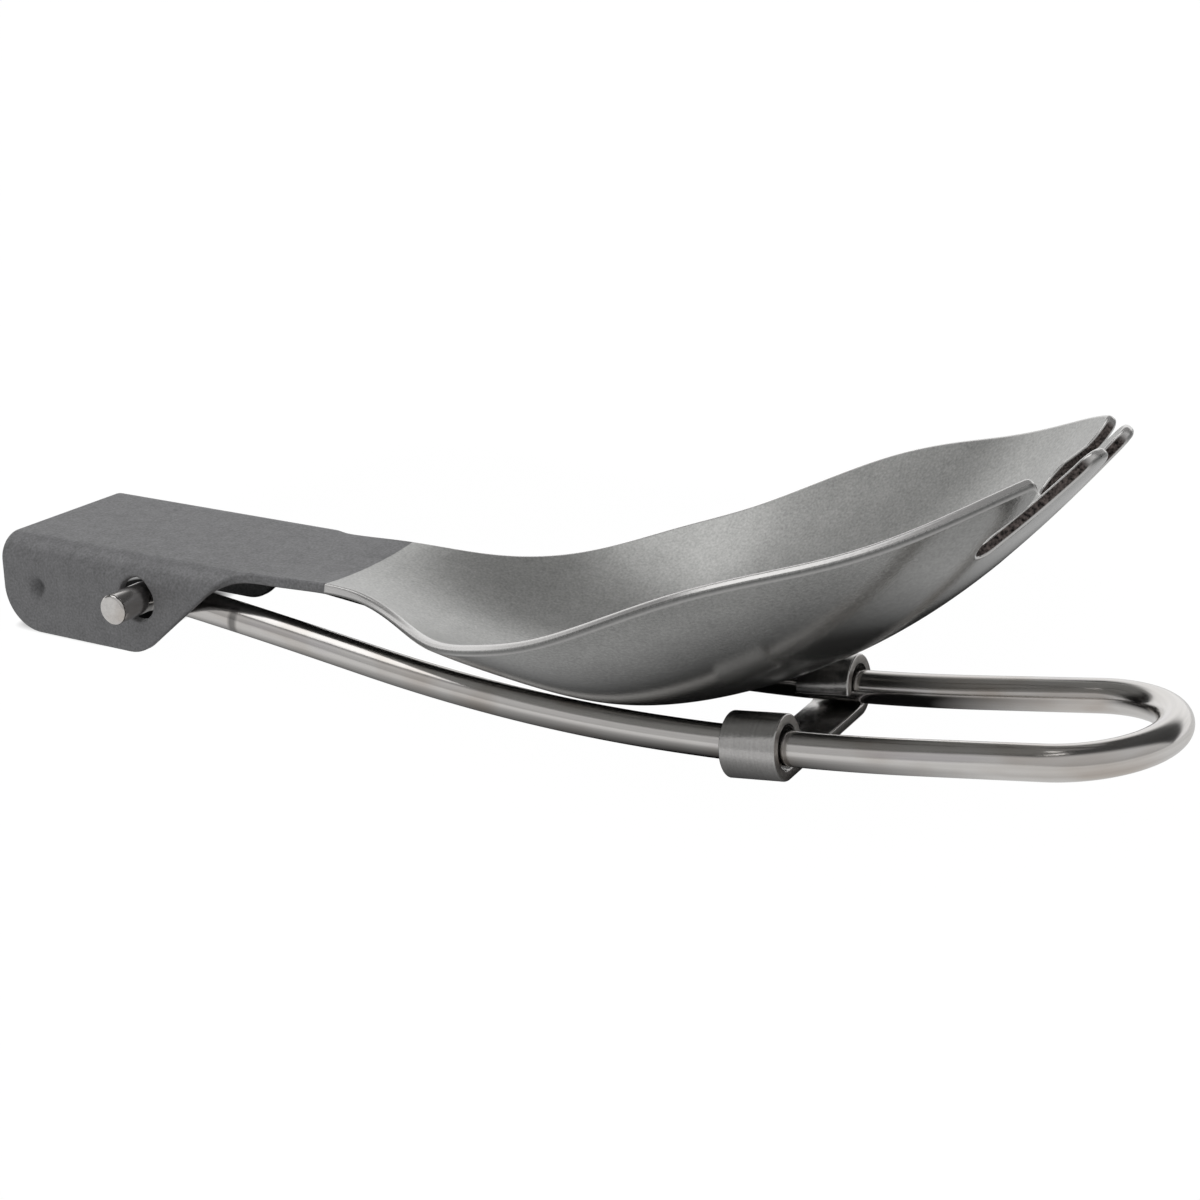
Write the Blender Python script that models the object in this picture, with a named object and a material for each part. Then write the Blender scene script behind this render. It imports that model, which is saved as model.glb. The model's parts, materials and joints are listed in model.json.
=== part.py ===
"""Folding spork: a stamped sheet head, a bent wire handle and a sliding lock strip.

Lengths are in metres and angles in radians. X runs from the channel's free end to the
handle's loop, Z is up, and Y is across. The spork is modelled folded, standing on the lock
strip, with the channel's lower edges just above the ground. Places along X are measured
from the pivot.
"""
import math

import bmesh
import bpy
import numpy as np

# Sheet of the head
SHEET = 0.0009
HEAD_REACH = 0.0792          # pivot to the front of the middle tines

# Channel that the sheet is folded into
CHANNEL_WIDTH = 0.0171       # outside the two walls
CHANNEL_HEIGHT = 0.0083      # lower edges to the top face
CHANNEL_TAIL = 0.0149        # pivot to the free end
FOLD_RADIUS = 0.0022         # outside of the fold
TAIL_RADIUS = 0.0038         # lower corner at the free end
HEEL_RADIUS = 0.0035         # lower corner below the pivot
HEEL_SETBACK = 0.0002        # pivot to where the sloping edge would meet the lower edge
HEEL_SLOPE = math.radians(41.8)
NECK_FILLET = 0.0009         # softness of the outline where the wall runs into the neck

# Neck and bowl
NECK_WIDTH = 0.0130
NECK_START = 0.0110          # pivot to where the flat plate ends
BOWL_WIDTH = 0.0396
BOWL_DEPTH = 0.0119          # rim to floor at the widest place
BELLY_DROP = 0.0052          # flat plate down to the lowest place of the floor
TIP_RISE = 0.0240            # lowest place of the floor up to the tips

# Tines
MIDDLE_ROOT = 0.0009         # radius of the middle slot's round end
MIDDLE_SLOT = 0.0080         # front of the tines to the middle slot's round end
SIDE_ROOT = 0.0012           # radius of the two side slots' round ends
SIDE_SLOT = 0.0072           # front of the tines to the two side slots' round ends
SIDE_ROOT_OUT = 0.0078       # centre plane to the side slots' round ends
INNER_TINE_IN = 0.0020       # centre plane to an inner tine's tip, inner side
INNER_TINE_OUT = 0.0047      # centre plane to an inner tine's tip, outer side
OUTER_TINE_IN = 0.0081       # centre plane to an outer tine's inner edge
TIP_ROUND = 0.0011           # corners of the tines

# Pivot holes and the pressed dimples that hold the open handle
PIVOT_HEIGHT = 0.00485
HOLE_DIAMETER = 0.0037
DIMPLE_BACK = 0.0111         # pivot to the dimples
DIMPLE_BELOW = 0.0007        # pivot axis down to the dimples
DISH_RADIUS = 0.0012
DISH_DEPTH = 0.00045
BUMP_RADIUS = 0.0011
BUMP_HEIGHT = 0.00022

# Wire handle
WIRE_DIAMETER = 0.0026
LEG_GAP = 0.0005             # leg to channel wall, also room for the dimple's bump
PIN_PROUD = 0.0030           # bent-out end beyond the channel wall
PIN_CHAMFER = 0.00025
PIN_BEND = 0.0020            # centreline radius of the bend at the pivot
LEG_STRAIGHT = 0.0217        # pivot to the start of the long bend
LONG_BEND_RADIUS = 0.180
LOOP_STRAIGHT = 0.0089       # end of the long bend to the loop
LOOP_PAST_TINES = 0.0056     # how much longer a leg with its loop is than the head's reach
LOOP_RADIUS = 0.00695        # centreline
SPREAD_START = 0.006         # the legs draw apart between these distances
SPREAD_END = 0.048
SEAT_GAP = 0.0003            # folded legs to the bowl's underside

# Lock strip that is curled round both legs
STRIP = 0.00085
STRIP_LENGTH = 0.0044        # along the legs
STRIP_SLACK = 0.00032        # wire to the inside of a curl
SLIDE_MIDDLE = 0.0070        # its place at rest to the middle of its travel
CURL_SWEEP = math.radians(275)

# Overrun of cutters past what they cut
OVERRUN = 0.002

# Places along the head are shares of its reach, the rest are shares of the size named
bowl_centre_share = 0.683    # widest place
strip_share = 0.715          # middle of the lock strip at rest
rear_place_shares = np.array([0.139, 0.215, 0.278, 0.341, 0.404, 0.480, 0.556])
drop_shares = np.array([0.0, 0.01, 0.11, 0.38, 0.68, 0.90, 1.0])
front_place_shares = np.array([0.631, 0.707, 0.783, 0.859, 0.934, 1.0])
rise_shares = np.array([0.045, 0.146, 0.287, 0.480, 0.734, 1.0])
dishing_shares = np.array([0.0, 0.24, 0.52, 0.67, 0.745, 0.81, 0.89, 0.955, 0.97, 0.98, 1.18])
dishing_place_shares = np.array([0.139, 0.215, 0.278, 0.341, 0.404, 0.480, 0.556, 0.631,
                                 0.78, 0.92, 1.0])
flare_shares = np.array([0.0, 0.0, 0.038, 0.21, 0.47, 0.75, 0.91, 0.985, 1.0])
flare_place_shares = np.array([0.139, 0.215, 0.278, 0.341, 0.404, 0.480, 0.556, 0.631, 0.683])

# Numbers of faces
FLAT_STEPS = 4
FOLD_STEPS = 4
WALL_STEPS = 3
WIRE_SIDES_RESOLUTION = 5
ARC_STEPS = 8


def smooth_curve(places, values, level_end=False):
    """Cubic spline through the given points: level at its start, level or unbent at its end."""
    steps = np.diff(places)
    rates = np.diff(values) / steps
    ties = np.zeros((len(places), len(places)))
    pulls = np.zeros(len(places))
    ties[0, :2] = 2 * steps[0], steps[0]
    pulls[0] = 6 * rates[0]
    for k in range(1, len(steps)):
        ties[k, k - 1:k + 2] = steps[k - 1], 2 * (steps[k - 1] + steps[k]), steps[k]
        pulls[k] = 6 * (rates[k] - rates[k - 1])
    ties[-1, -2:] = (steps[-1], 2 * steps[-1]) if level_end else (0.0, 1.0)
    pulls[-1] = -6 * rates[-1] if level_end else 0.0
    bends = np.linalg.solve(ties, pulls)

    def curve(x):
        x = np.clip(np.asarray(x, float), places[0], places[-1])
        k = np.clip(np.searchsorted(places, x) - 1, 0, len(places) - 2)
        to = (x - places[k]) / steps[k]
        back = 1 - to
        bend = (back**3 - back) * bends[k] + (to**3 - to) * bends[k + 1]
        return back * values[k] + to * values[k + 1] + steps[k] ** 2 / 6 * bend

    return curve


def smooth_step(x, start, end):
    """0 before start, 1 after end, with level ends."""
    t = np.clip((np.asarray(x, float) - start) / (end - start), 0.0, 1.0)
    return t * t * (3 - 2 * t)


PLATE_MIDDLE = CHANNEL_HEIGHT - SHEET / 2
WIRE_RADIUS = WIRE_DIAMETER / 2
FLAT_HALF = CHANNEL_WIDTH / 2 - FOLD_RADIUS
FOLD_MIDDLE = FOLD_RADIUS - SHEET / 2
FOLD_RUN = FOLD_MIDDLE * math.pi / 2
WALL_TOP = CHANNEL_HEIGHT - FOLD_RADIUS
FULL_RUN = FLAT_HALF + FOLD_RUN + WALL_TOP
BOWL_CENTRE = bowl_centre_share * HEAD_REACH
STRIP_AT = strip_share * HEAD_REACH
LONG_BEND_RUN = HEAD_REACH + LOOP_PAST_TINES - LEG_STRAIGHT - LOOP_STRAIGHT - LOOP_RADIUS
LONG_BEND = LONG_BEND_RUN / LONG_BEND_RADIUS

floor_places = np.concatenate([rear_place_shares, front_place_shares]) * HEAD_REACH
floor_drops = np.concatenate([drop_shares * BELLY_DROP, BELLY_DROP - rise_shares * TIP_RISE])
drop_curve = smooth_curve(floor_places, floor_drops)
dishing_curve = smooth_curve(dishing_place_shares * HEAD_REACH, dishing_shares)
flare_curve = smooth_curve(flare_place_shares * HEAD_REACH, flare_shares, level_end=True)


def floor_height(x):
    """Height of the sheet's middle along the centre plane."""
    return PLATE_MIDDLE - drop_curve(x)


def sheet_height(x, y):
    """Height of the sheet's middle in the neck and the bowl, a parabola across."""
    dishing = dishing_curve(x) * BOWL_DEPTH / (BOWL_WIDTH / 2) ** 2
    return floor_height(x) + dishing * np.asarray(y, float) ** 2


def sheet_normal(x, y):
    """Unit normal of the neck and bowl, towards the inside of the bowl."""
    step = SHEET / 2
    slope_x = (sheet_height(x + step, y) - sheet_height(x - step, y)) / SHEET
    slope_y = (sheet_height(x, y + step) - sheet_height(x, y - step)) / SHEET
    normal = np.stack([-slope_x, -slope_y, np.ones_like(slope_x)], -1)
    return normal / np.linalg.norm(normal, axis=-1, keepdims=True)


def half_width(x):
    """Half the width of the neck and the bowl; the front is half an ellipse."""
    rear = NECK_WIDTH / 2 + (BOWL_WIDTH - NECK_WIDTH) / 2 * flare_curve(x)
    along = np.clip((x - BOWL_CENTRE) / (HEAD_REACH - BOWL_CENTRE), 0.0, 1.0)
    return np.where(x > BOWL_CENTRE, BOWL_WIDTH / 2 * np.sqrt(1 - along**2), rear)


def front_place(y):
    """Place along X of the front of the outline, at a distance from the centre plane."""
    return BOWL_CENTRE + (HEAD_REACH - BOWL_CENTRE) * math.sqrt(1 - (y / (BOWL_WIDTH / 2)) ** 2)


def wall_edge_height(x):
    """Height of the lower edge of a channel wall: a round tail, a flat, a round heel, a slope."""
    into_tail = np.clip(TAIL_RADIUS - (x + CHANNEL_TAIL), 0.0, TAIL_RADIUS)
    tail = TAIL_RADIUS - np.sqrt(TAIL_RADIUS**2 - into_tail**2)
    heel_start = HEEL_SETBACK - HEEL_RADIUS * math.tan(HEEL_SLOPE / 2)
    into_heel = np.clip(x - heel_start, 0.0, HEEL_RADIUS * math.sin(HEEL_SLOPE))
    heel = HEEL_RADIUS - np.sqrt(HEEL_RADIUS**2 - into_heel**2)
    past_heel = np.maximum(x - heel_start - HEEL_RADIUS * math.sin(HEEL_SLOPE), 0.0)
    return tail + heel + past_heel * math.tan(HEEL_SLOPE)


def blank_half(x):
    """Half-width of the unfolded sheet at x, measured along its middle."""
    wall = FULL_RUN - wall_edge_height(x)
    neck = NECK_WIDTH / 2
    soft = NECK_FILLET**2 * smooth_step(x, 0.0, NECK_START / 2)
    return 0.5 * (wall + neck + np.sqrt((wall - neck) ** 2 + soft))


def folded_point(run):
    """Across, height and normal of the folded sheet at a run from the centre plane."""
    side = np.sign(run)
    run = np.abs(run)
    turn = np.clip((run - FLAT_HALF) / FOLD_MIDDLE, 0.0, math.pi / 2)
    down = np.maximum(run - FLAT_HALF - FOLD_RUN, 0.0)
    across = np.minimum(run, FLAT_HALF) + FOLD_MIDDLE * np.sin(turn)
    height = PLATE_MIDDLE - FOLD_MIDDLE * (1 - np.cos(turn)) - down
    return side * across, height, side * np.sin(turn), np.cos(turn)


def column_runs():
    """Runs of the grid's columns over half of the channel's sheet."""
    flat = np.linspace(0.0, FLAT_HALF, FLAT_STEPS + 1)
    fold = FLAT_HALF + np.linspace(0.0, FOLD_RUN, FOLD_STEPS + 1)[1:]
    wall = FLAT_HALF + FOLD_RUN + np.linspace(0.0, WALL_TOP, WALL_STEPS + 1)[1:]
    return np.concatenate([flat, fold, wall])


def station_places():
    """Places along X of the grid's rows, closer where the outline turns."""
    tail = -CHANNEL_TAIL + TAIL_RADIUS * (1 - np.cos(np.linspace(0.0, math.pi / 2, ARC_STEPS)))
    heel_start = HEEL_SETBACK - HEEL_RADIUS * math.tan(HEEL_SLOPE / 2)
    heel_run = HEEL_RADIUS * math.sin(HEEL_SLOPE)
    heel = heel_start + heel_run * np.linspace(0.0, 1.0, ARC_STEPS // 2 + 1)
    slope = np.linspace(heel_start + heel_run, NECK_START, 2 * ARC_STEPS)[1:]
    rear = np.linspace(NECK_START, BOWL_CENTRE, 3 * ARC_STEPS)[1:]
    turn = np.linspace(0.0, math.asin(0.992), 3 * ARC_STEPS)[1:]
    front = BOWL_CENTRE + (HEAD_REACH - BOWL_CENTRE) * np.sin(turn)
    between = np.linspace(tail[-1], heel[0], 3)[1:-1]
    return np.concatenate([tail, between, heel, slope, rear, front])


def sheet_grid():
    """Upper and lower skins of the head as grids of points, rows along X."""
    half_runs = column_runs()
    half_spread = np.linspace(0.0, 1.0, len(half_runs))
    upper, lower = [], []
    for x in station_places():
        if x < NECK_START:
            run = np.minimum(half_runs, blank_half(x))
            run = np.concatenate([-run[:0:-1], run])
            across, height, side, up = folded_point(run)
            middle = np.stack([np.full_like(run, x), across, height], -1)
            normal = np.stack([np.zeros_like(run), side, up], -1)
        else:
            even = smooth_step(x, NECK_START, 2 * NECK_START)
            width = float(half_width(x))
            flat = np.minimum(half_runs, width)
            across = (1 - even) * flat + even * half_spread * width
            across = np.concatenate([-across[:0:-1], across])
            place = np.full_like(across, x)
            middle = np.stack([place, across, sheet_height(place, across)], -1)
            normal = sheet_normal(place, across)
        upper.append(middle + normal * SHEET / 2)
        lower.append(middle - normal * SHEET / 2)
    return np.array(upper), np.array(lower)


def new_material(name, colour, roughness, metallic):
    """Principled material with the piece's own colour and finish."""
    material = bpy.data.materials.new(name)
    material.use_nodes = True
    shader = material.node_tree.nodes["Principled BSDF"]
    shader.inputs["Base Color"].default_value = (*colour, 1.0)
    shader.inputs["Roughness"].default_value = roughness
    shader.inputs["Metallic"].default_value = metallic
    return material


def add_object(name, mesh, material=None):
    """Link a new object that shows the mesh."""
    piece = bpy.data.objects.new(name, mesh)
    bpy.context.scene.collection.objects.link(piece)
    if material is not None:
        mesh.materials.append(material)
    return piece


def solid_from_skins(name, upper, lower):
    """Closed mesh between two grids of points, with its edge faces."""
    rows, columns = upper.shape[:2]
    points = np.concatenate([upper.reshape(-1, 3), lower.reshape(-1, 3)])
    index = np.arange(rows * columns).reshape(rows, columns)
    under = index + rows * columns
    faces = []
    for i in range(rows - 1):
        for j in range(columns - 1):
            faces.append((index[i, j], index[i + 1, j], index[i + 1, j + 1], index[i, j + 1]))
            faces.append((under[i, j], under[i, j + 1], under[i + 1, j + 1], under[i + 1, j]))
        for edge, flip in ((0, 1), (columns - 1, -1)):
            rim = (index[i, edge], under[i, edge], under[i + 1, edge], index[i + 1, edge])
            faces.append(rim[::flip])
    for j in range(columns - 1):
        for end, flip in ((0, -1), (rows - 1, 1)):
            rim = (index[end, j], under[end, j], under[end, j + 1], index[end, j + 1])
            faces.append(rim[::flip])
    mesh = bpy.data.meshes.new(name)
    mesh.from_pydata(points.tolist(), [], [tuple(int(k) for k in face) for face in faces])
    body = bmesh.new()
    body.from_mesh(mesh)
    bmesh.ops.remove_doubles(body, verts=body.verts, dist=SHEET / 1000)
    bmesh.ops.dissolve_degenerate(body, edges=body.edges, dist=SHEET / 1000)
    bmesh.ops.triangulate(body, faces=body.faces)
    bmesh.ops.recalc_face_normals(body, faces=body.faces)
    body.to_mesh(mesh)
    body.free()
    return mesh


def prism(name, lower_ring, upper_ring):
    """Closed mesh between two rings of points that match one to one."""
    body = bmesh.new()
    below = [body.verts.new(point) for point in lower_ring]
    above = [body.verts.new(point) for point in upper_ring]
    count = len(below)
    for k in range(count):
        body.faces.new((below[k], below[(k + 1) % count], above[(k + 1) % count], above[k]))
    body.faces.new(below[::-1])
    body.faces.new(above)
    bmesh.ops.triangulate(body, faces=body.faces)
    bmesh.ops.recalc_face_normals(body, faces=body.faces)
    mesh = bpy.data.meshes.new(name)
    body.to_mesh(mesh)
    body.free()
    return mesh


def cut(piece, cutter, operation="DIFFERENCE"):
    """Exact Boolean of a piece with a hidden tool object."""
    cutter.hide_render = True
    cutter.display_type = "WIRE"
    modifier = piece.modifiers.new(cutter.name, "BOOLEAN")
    modifier.operation = operation
    modifier.solver = "EXACT"
    modifier.object = cutter


def arc_points(centre, radius, start, end, steps):
    """Points on an arc in the plane."""
    angles = np.linspace(start, end, steps + 1)
    return [(centre[0] + radius * math.cos(a), centre[1] + radius * math.sin(a)) for a in angles]


def slot_outline(root_radius, length, root_out, inner, outer):
    """Plan of a slot from its round root to its mouth; inner and outer are tine sides at the tips."""
    past = HEAD_REACH + OVERRUN
    root = (HEAD_REACH - length + root_radius, root_out)
    points = arc_points(root, root_radius, 1.5 * math.pi, 0.5 * math.pi, ARC_STEPS)
    points += tine_side(points[-1], outer, 1)
    points += [(past, outer + OVERRUN), (past, inner - OVERRUN)]
    points += tine_side(points[0], inner, -1)[::-1]
    return points


def tine_side(root, tip, flip):
    """Side of a tine from the slot's root, rounded over into the tip at the front outline."""
    end = front_place(tip)
    runs = np.linspace(0.0, 1.0, ARC_STEPS)[1:-1]
    side = [(root[0] + (end - TIP_ROUND - root[0]) * t, root[1] + (tip - root[1]) * t) for t in runs]
    turns = np.linspace(0.0, math.pi / 2, ARC_STEPS)
    return side + [(end - TIP_ROUND + TIP_ROUND * math.sin(a), tip + flip * TIP_ROUND * (1 - math.cos(a)))
                   for a in turns]


def slot_cutter(name, outline):
    """Tool that cuts the outline square to the sheet."""
    plan = np.array(outline)
    middle = np.stack([plan[:, 0], plan[:, 1], sheet_height(plan[:, 0], plan[:, 1])], -1)
    normal = sheet_normal(plan[:, 0], plan[:, 1])
    return add_object(name, prism(name, middle - normal * OVERRUN, middle + normal * OVERRUN))


def cross_cylinder(name, x, z, radius, length):
    """Cylinder along Y through the point, for the pivot holes."""
    ring = np.array(arc_points((x, z), radius, 0.0, 2 * math.pi, 4 * ARC_STEPS))[:-1]
    near = [(px, -length / 2, pz) for px, pz in ring]
    far = [(px, length / 2, pz) for px, pz in ring]
    return add_object(name, prism(name, near, far))


def dome(name, radius, height, base, foot, facing):
    """Shallow cap on a short cylinder along Y; foot is how deep the cylinder is sunk."""
    ball = (radius**2 + height**2) / (2 * height)
    body = bmesh.new()
    rings = []
    for level in np.linspace(0.0, 1.0, ARC_STEPS // 2 + 1)[:-1]:
        rise = height * level
        rings.append((rise, math.sqrt(max(ball**2 - (ball - height + rise) ** 2, 0.0))))
    rings.insert(0, (-foot, radius))
    loops = []
    for rise, size in rings:
        loop = [body.verts.new((x, facing * (base + rise), z))
                for x, z in arc_points((0.0, 0.0), size, 0.0, 2 * math.pi, 3 * ARC_STEPS)[:-1]]
        loops.append(loop)
    count = len(loops[0])
    top = body.verts.new((0.0, facing * (base + height), 0.0))
    for below, above in zip(loops, loops[1:]):
        for k in range(count):
            body.faces.new((below[k], below[(k + 1) % count], above[(k + 1) % count], above[k]))
    for k in range(count):
        body.faces.new((loops[-1][k], loops[-1][(k + 1) % count], top))
    body.faces.new(loops[0][::-1])
    bmesh.ops.triangulate(body, faces=body.faces)
    bmesh.ops.recalc_face_normals(body, faces=body.faces)
    mesh = bpy.data.meshes.new(name)
    body.to_mesh(mesh)
    body.free()
    return add_object(name, mesh)


def make_head(pivot_x, lift):
    """Bowl, four tines, neck and folded channel, all one stamped sheet."""
    upper, lower = sheet_grid()
    mesh = solid_from_skins("spork_head", upper, lower)
    head = add_object("spork_head", mesh, new_material("satin_titanium", (0.30, 0.30, 0.31), 0.38, 1.0))
    tools = []

    outline = slot_outline(MIDDLE_ROOT, MIDDLE_SLOT, 0.0, -INNER_TINE_IN, INNER_TINE_IN)
    tools.append((slot_cutter("middle_slot_tool", outline), "DIFFERENCE"))
    outline = slot_outline(SIDE_ROOT, SIDE_SLOT, SIDE_ROOT_OUT, INNER_TINE_OUT, OUTER_TINE_IN)
    tools.append((slot_cutter("far_slot_tool", outline), "DIFFERENCE"))
    outline = [(x, -y) for x, y in outline]
    tools.append((slot_cutter("near_slot_tool", outline[::-1]), "DIFFERENCE"))

    hole = cross_cylinder("pivot_hole_tool", 0.0, PIVOT_HEIGHT, HOLE_DIAMETER / 2,
                          CHANNEL_WIDTH + OVERRUN)
    tools.append((hole, "DIFFERENCE"))
    for side, label in ((1, "far"), (-1, "near")):
        outside = CHANNEL_WIDTH / 2
        dish = dome(label + "_dish_tool", DISH_RADIUS, DISH_DEPTH, -outside, DISH_DEPTH, -side)
        bump = dome(label + "_bump_tool", BUMP_RADIUS, BUMP_HEIGHT, SHEET - outside, SHEET / 3, -side)
        for tool in (dish, bump):
            tool.location = (-DIMPLE_BACK, 0.0, PIVOT_HEIGHT - DIMPLE_BELOW)
        tools.append((dish, "DIFFERENCE"))
        tools.append((bump, "UNION"))
    for tool, operation in tools:
        tool.parent = head
        cut(head, tool, operation)
    head.location = (pivot_x, 0.0, lift)


def leg_line(run):
    """Along, height and heading of a leg's centreline, level at the pivot."""
    turn = np.clip((run - LEG_STRAIGHT) / LONG_BEND_RADIUS, 0.0, LONG_BEND)
    past = np.maximum(run - LEG_STRAIGHT - LONG_BEND_RUN, 0.0)
    along = np.minimum(run, LEG_STRAIGHT) + LONG_BEND_RADIUS * np.sin(turn) + past * math.cos(LONG_BEND)
    height = LONG_BEND_RADIUS * (1 - np.cos(turn)) + past * math.sin(LONG_BEND)
    return along, height, turn


def leg_across(along):
    """Centre plane to a leg's centreline; the legs draw apart towards the loop."""
    at_pivot = CHANNEL_WIDTH / 2 - SHEET - LEG_GAP - WIRE_RADIUS
    return at_pivot + (LOOP_RADIUS - at_pivot) * smooth_step(along, SPREAD_START, SPREAD_END)


def leg_length():
    """Run of a leg from the pivot to the start of the loop."""
    return LEG_STRAIGHT + LONG_BEND_RUN + LOOP_STRAIGHT


def half_wire():
    """Far half of the wire's centreline, from the bent-out end to the crown of the loop."""
    at_pivot = float(leg_across(0.0))
    pin_end = CHANNEL_WIDTH / 2 + PIN_PROUD
    points = [(0.0, pin_end, 0.0), (0.0, pin_end - PIN_CHAMFER, 0.0)]
    for a in np.linspace(0.0, math.pi / 2, ARC_STEPS // 2 + 2):
        points.append((PIN_BEND * (1 - math.cos(a)), at_pivot + PIN_BEND * (1 - math.sin(a)), 0.0))
    runs = np.linspace(2 * PIN_BEND, leg_length(), 4 * ARC_STEPS)
    along, height, _ = leg_line(runs)
    points += list(zip(along, leg_across(along), height))
    for a in np.linspace(0.0, math.pi / 2, ARC_STEPS)[1:]:
        reach = LOOP_RADIUS * math.sin(a)
        points.append((along[-1] + reach * math.cos(LONG_BEND), LOOP_RADIUS * math.cos(a),
                       height[-1] + reach * math.sin(LONG_BEND)))
    return np.array(points)


def turned(points, angle):
    """Points turned about Y, so that a positive angle lowers what lies towards +X."""
    cos, sin = math.cos(angle), math.sin(angle)
    x, y, z = np.moveaxis(np.asarray(points, float), -1, 0)
    return np.stack([x * cos + z * sin, y, z * cos - x * sin], -1)


def folded_angle(lower):
    """How far the folded legs fall, so that they stop just short of the bowl's underside."""
    runs = np.linspace(LEG_STRAIGHT, leg_length(), 12 * ARC_STEPS)
    along, height, _ = leg_line(runs)
    leg = np.stack([along, leg_across(along), height], -1)
    skin = lower[lower[..., 0] > NECK_START]
    skin = skin[skin[:, 1] >= 0.0] - np.array([0.0, 0.0, PIVOT_HEIGHT])

    def least_gap(angle):
        centre = turned(leg, angle)
        gaps = np.linalg.norm(centre[:, None, :] - skin[None, :, :], axis=-1)
        return gaps.min() - WIRE_RADIUS

    low, high = 0.0, math.pi / 6
    for _ in range(40):
        middle = (low + high) / 2
        if least_gap(middle) < SEAT_GAP:
            low = middle
        else:
            high = middle
    return high


def make_handle(fall, pivot_x, lift):
    """U-bent wire whose bent-out ends are the pivot pins."""
    far = turned(half_wire(), fall)
    near = far[::-1] * np.array([1.0, -1.0, 1.0])
    path = np.concatenate([far, near[1:]])
    curve = bpy.data.curves.new("wire_handle", "CURVE")
    curve.dimensions = "3D"
    curve.bevel_depth = WIRE_RADIUS
    curve.bevel_resolution = WIRE_SIDES_RESOLUTION
    curve.use_fill_caps = True
    spline = curve.splines.new("POLY")
    spline.points.add(len(path) - 1)
    for point, place in zip(spline.points, path):
        point.co = (*place, 1.0)
    for end in (0, -1):
        spline.points[end].radius = (WIRE_RADIUS - PIN_CHAMFER) / WIRE_RADIUS
    curve.materials.append(new_material("polished_wire", (0.42, 0.41, 0.40), 0.16, 1.0))
    handle = bpy.data.objects.new("wire_handle", curve)
    bpy.context.scene.collection.objects.link(handle)
    handle.location = (pivot_x, 0.0, PIVOT_HEIGHT + lift)
    return handle


def strip_sections():
    """Inner and outer points of the strip's section, from one free end to the other."""
    bore = WIRE_RADIUS + STRIP_SLACK
    angles = np.linspace(CURL_SWEEP - math.pi / 2, -math.pi / 2, 3 * ARC_STEPS)
    far = np.stack([np.cos(angles), np.sin(angles)], -1)
    inner = far * bore + np.array([LOOP_RADIUS, 0.0])
    outer = far * (bore + STRIP) + np.array([LOOP_RADIUS, 0.0])
    mirror = np.array([-1.0, 1.0])
    return np.concatenate([inner, inner[::-1] * mirror]), np.concatenate([outer, outer[::-1] * mirror])


def wire_height_at(place, fall):
    """Height above the pivot of the folded wire's centreline at a place along X."""
    along, height, _ = leg_line(np.linspace(0.0, leg_length(), 100 * ARC_STEPS))
    centre = turned(np.stack([along, 0 * along, height], -1), fall)
    return float(np.interp(place, centre[:, 0], centre[:, 2]))


def strip_slope(fall):
    """Slope of the legs at the middle of the strip's travel, which the strip is in line with."""
    return (STRIP_AT + SLIDE_MIDDLE - LEG_STRAIGHT) / LONG_BEND_RADIUS - fall


def strip_bottom(fall):
    """Height above the pivot of the strip's lowest edge."""
    slope = strip_slope(fall)
    below = (WIRE_RADIUS + STRIP_SLACK + STRIP) * math.cos(slope)
    return wire_height_at(STRIP_AT, fall) - below - STRIP_LENGTH / 2 * math.sin(slope)


def make_strip(handle, fall):
    """Flat strip that passes under both legs and is curled up and over each of them."""
    inner, outer = strip_sections()
    half = STRIP_LENGTH / 2
    body = bmesh.new()
    rings = []
    for (iy, iz), (oy, oz) in zip(inner, outer):
        corners = ((-half, iy, iz), (half, iy, iz), (half, oy, oz), (-half, oy, oz))
        rings.append([body.verts.new(corner) for corner in corners])
    for before, after in zip(rings, rings[1:]):
        for k in range(len(before)):
            nxt = (k + 1) % len(before)
            body.faces.new((before[k], before[nxt], after[nxt], after[k]))
    body.faces.new(rings[0][::-1])
    body.faces.new(rings[-1])
    bmesh.ops.recalc_face_normals(body, faces=body.faces)
    mesh = bpy.data.meshes.new("lock_slider")
    body.to_mesh(mesh)
    body.free()
    strip = add_object("lock_slider", mesh, new_material("brushed_strip", (0.34, 0.33, 0.32), 0.35, 1.0))
    strip.parent = handle
    strip.location = (STRIP_AT, 0.0, wire_height_at(STRIP_AT, fall))
    strip.rotation_euler = (0.0, -strip_slope(fall), 0.0)
    return strip


def main():
    for old in list(bpy.data.objects):
        bpy.data.objects.remove(old, do_unlink=True)
    _, lower = sheet_grid()
    fall = folded_angle(lower)
    reach = float(turned(half_wire(), fall)[:, 0].max()) + WIRE_RADIUS
    pivot_x = (CHANNEL_TAIL - reach) / 2
    lift = max(0.0, -PIVOT_HEIGHT - strip_bottom(fall))
    make_head(pivot_x, lift)
    handle = make_handle(fall, pivot_x, lift)
    make_strip(handle, fall)
    print("legs fall by", round(math.degrees(fall), 2), "degrees; pivot at", round(pivot_x, 5),
          "and", round(PIVOT_HEIGHT + lift, 5), "; channel stands", round(lift, 5), "above the ground;",
          "strip slopes", round(math.degrees(strip_slope(fall)), 3), "degrees")


main()
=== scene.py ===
"""Looks of a folding spork in titanium, standing folded on a white table.

Its pieces are a stamped sheet head with a bowl, four tines and a folded channel, a wire handle
that turns in the channel's walls, and a lock strip curled round both legs of the wire. Lengths
are in metres, Z is up, and X runs from the channel's free end to the loop of the wire. Places
along the head and the wire are measured from the pivot.
"""

import json
import math

import bpy
import numpy as np
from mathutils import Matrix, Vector
from mathutils.geometry import delaunay_2d_cdt


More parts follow.
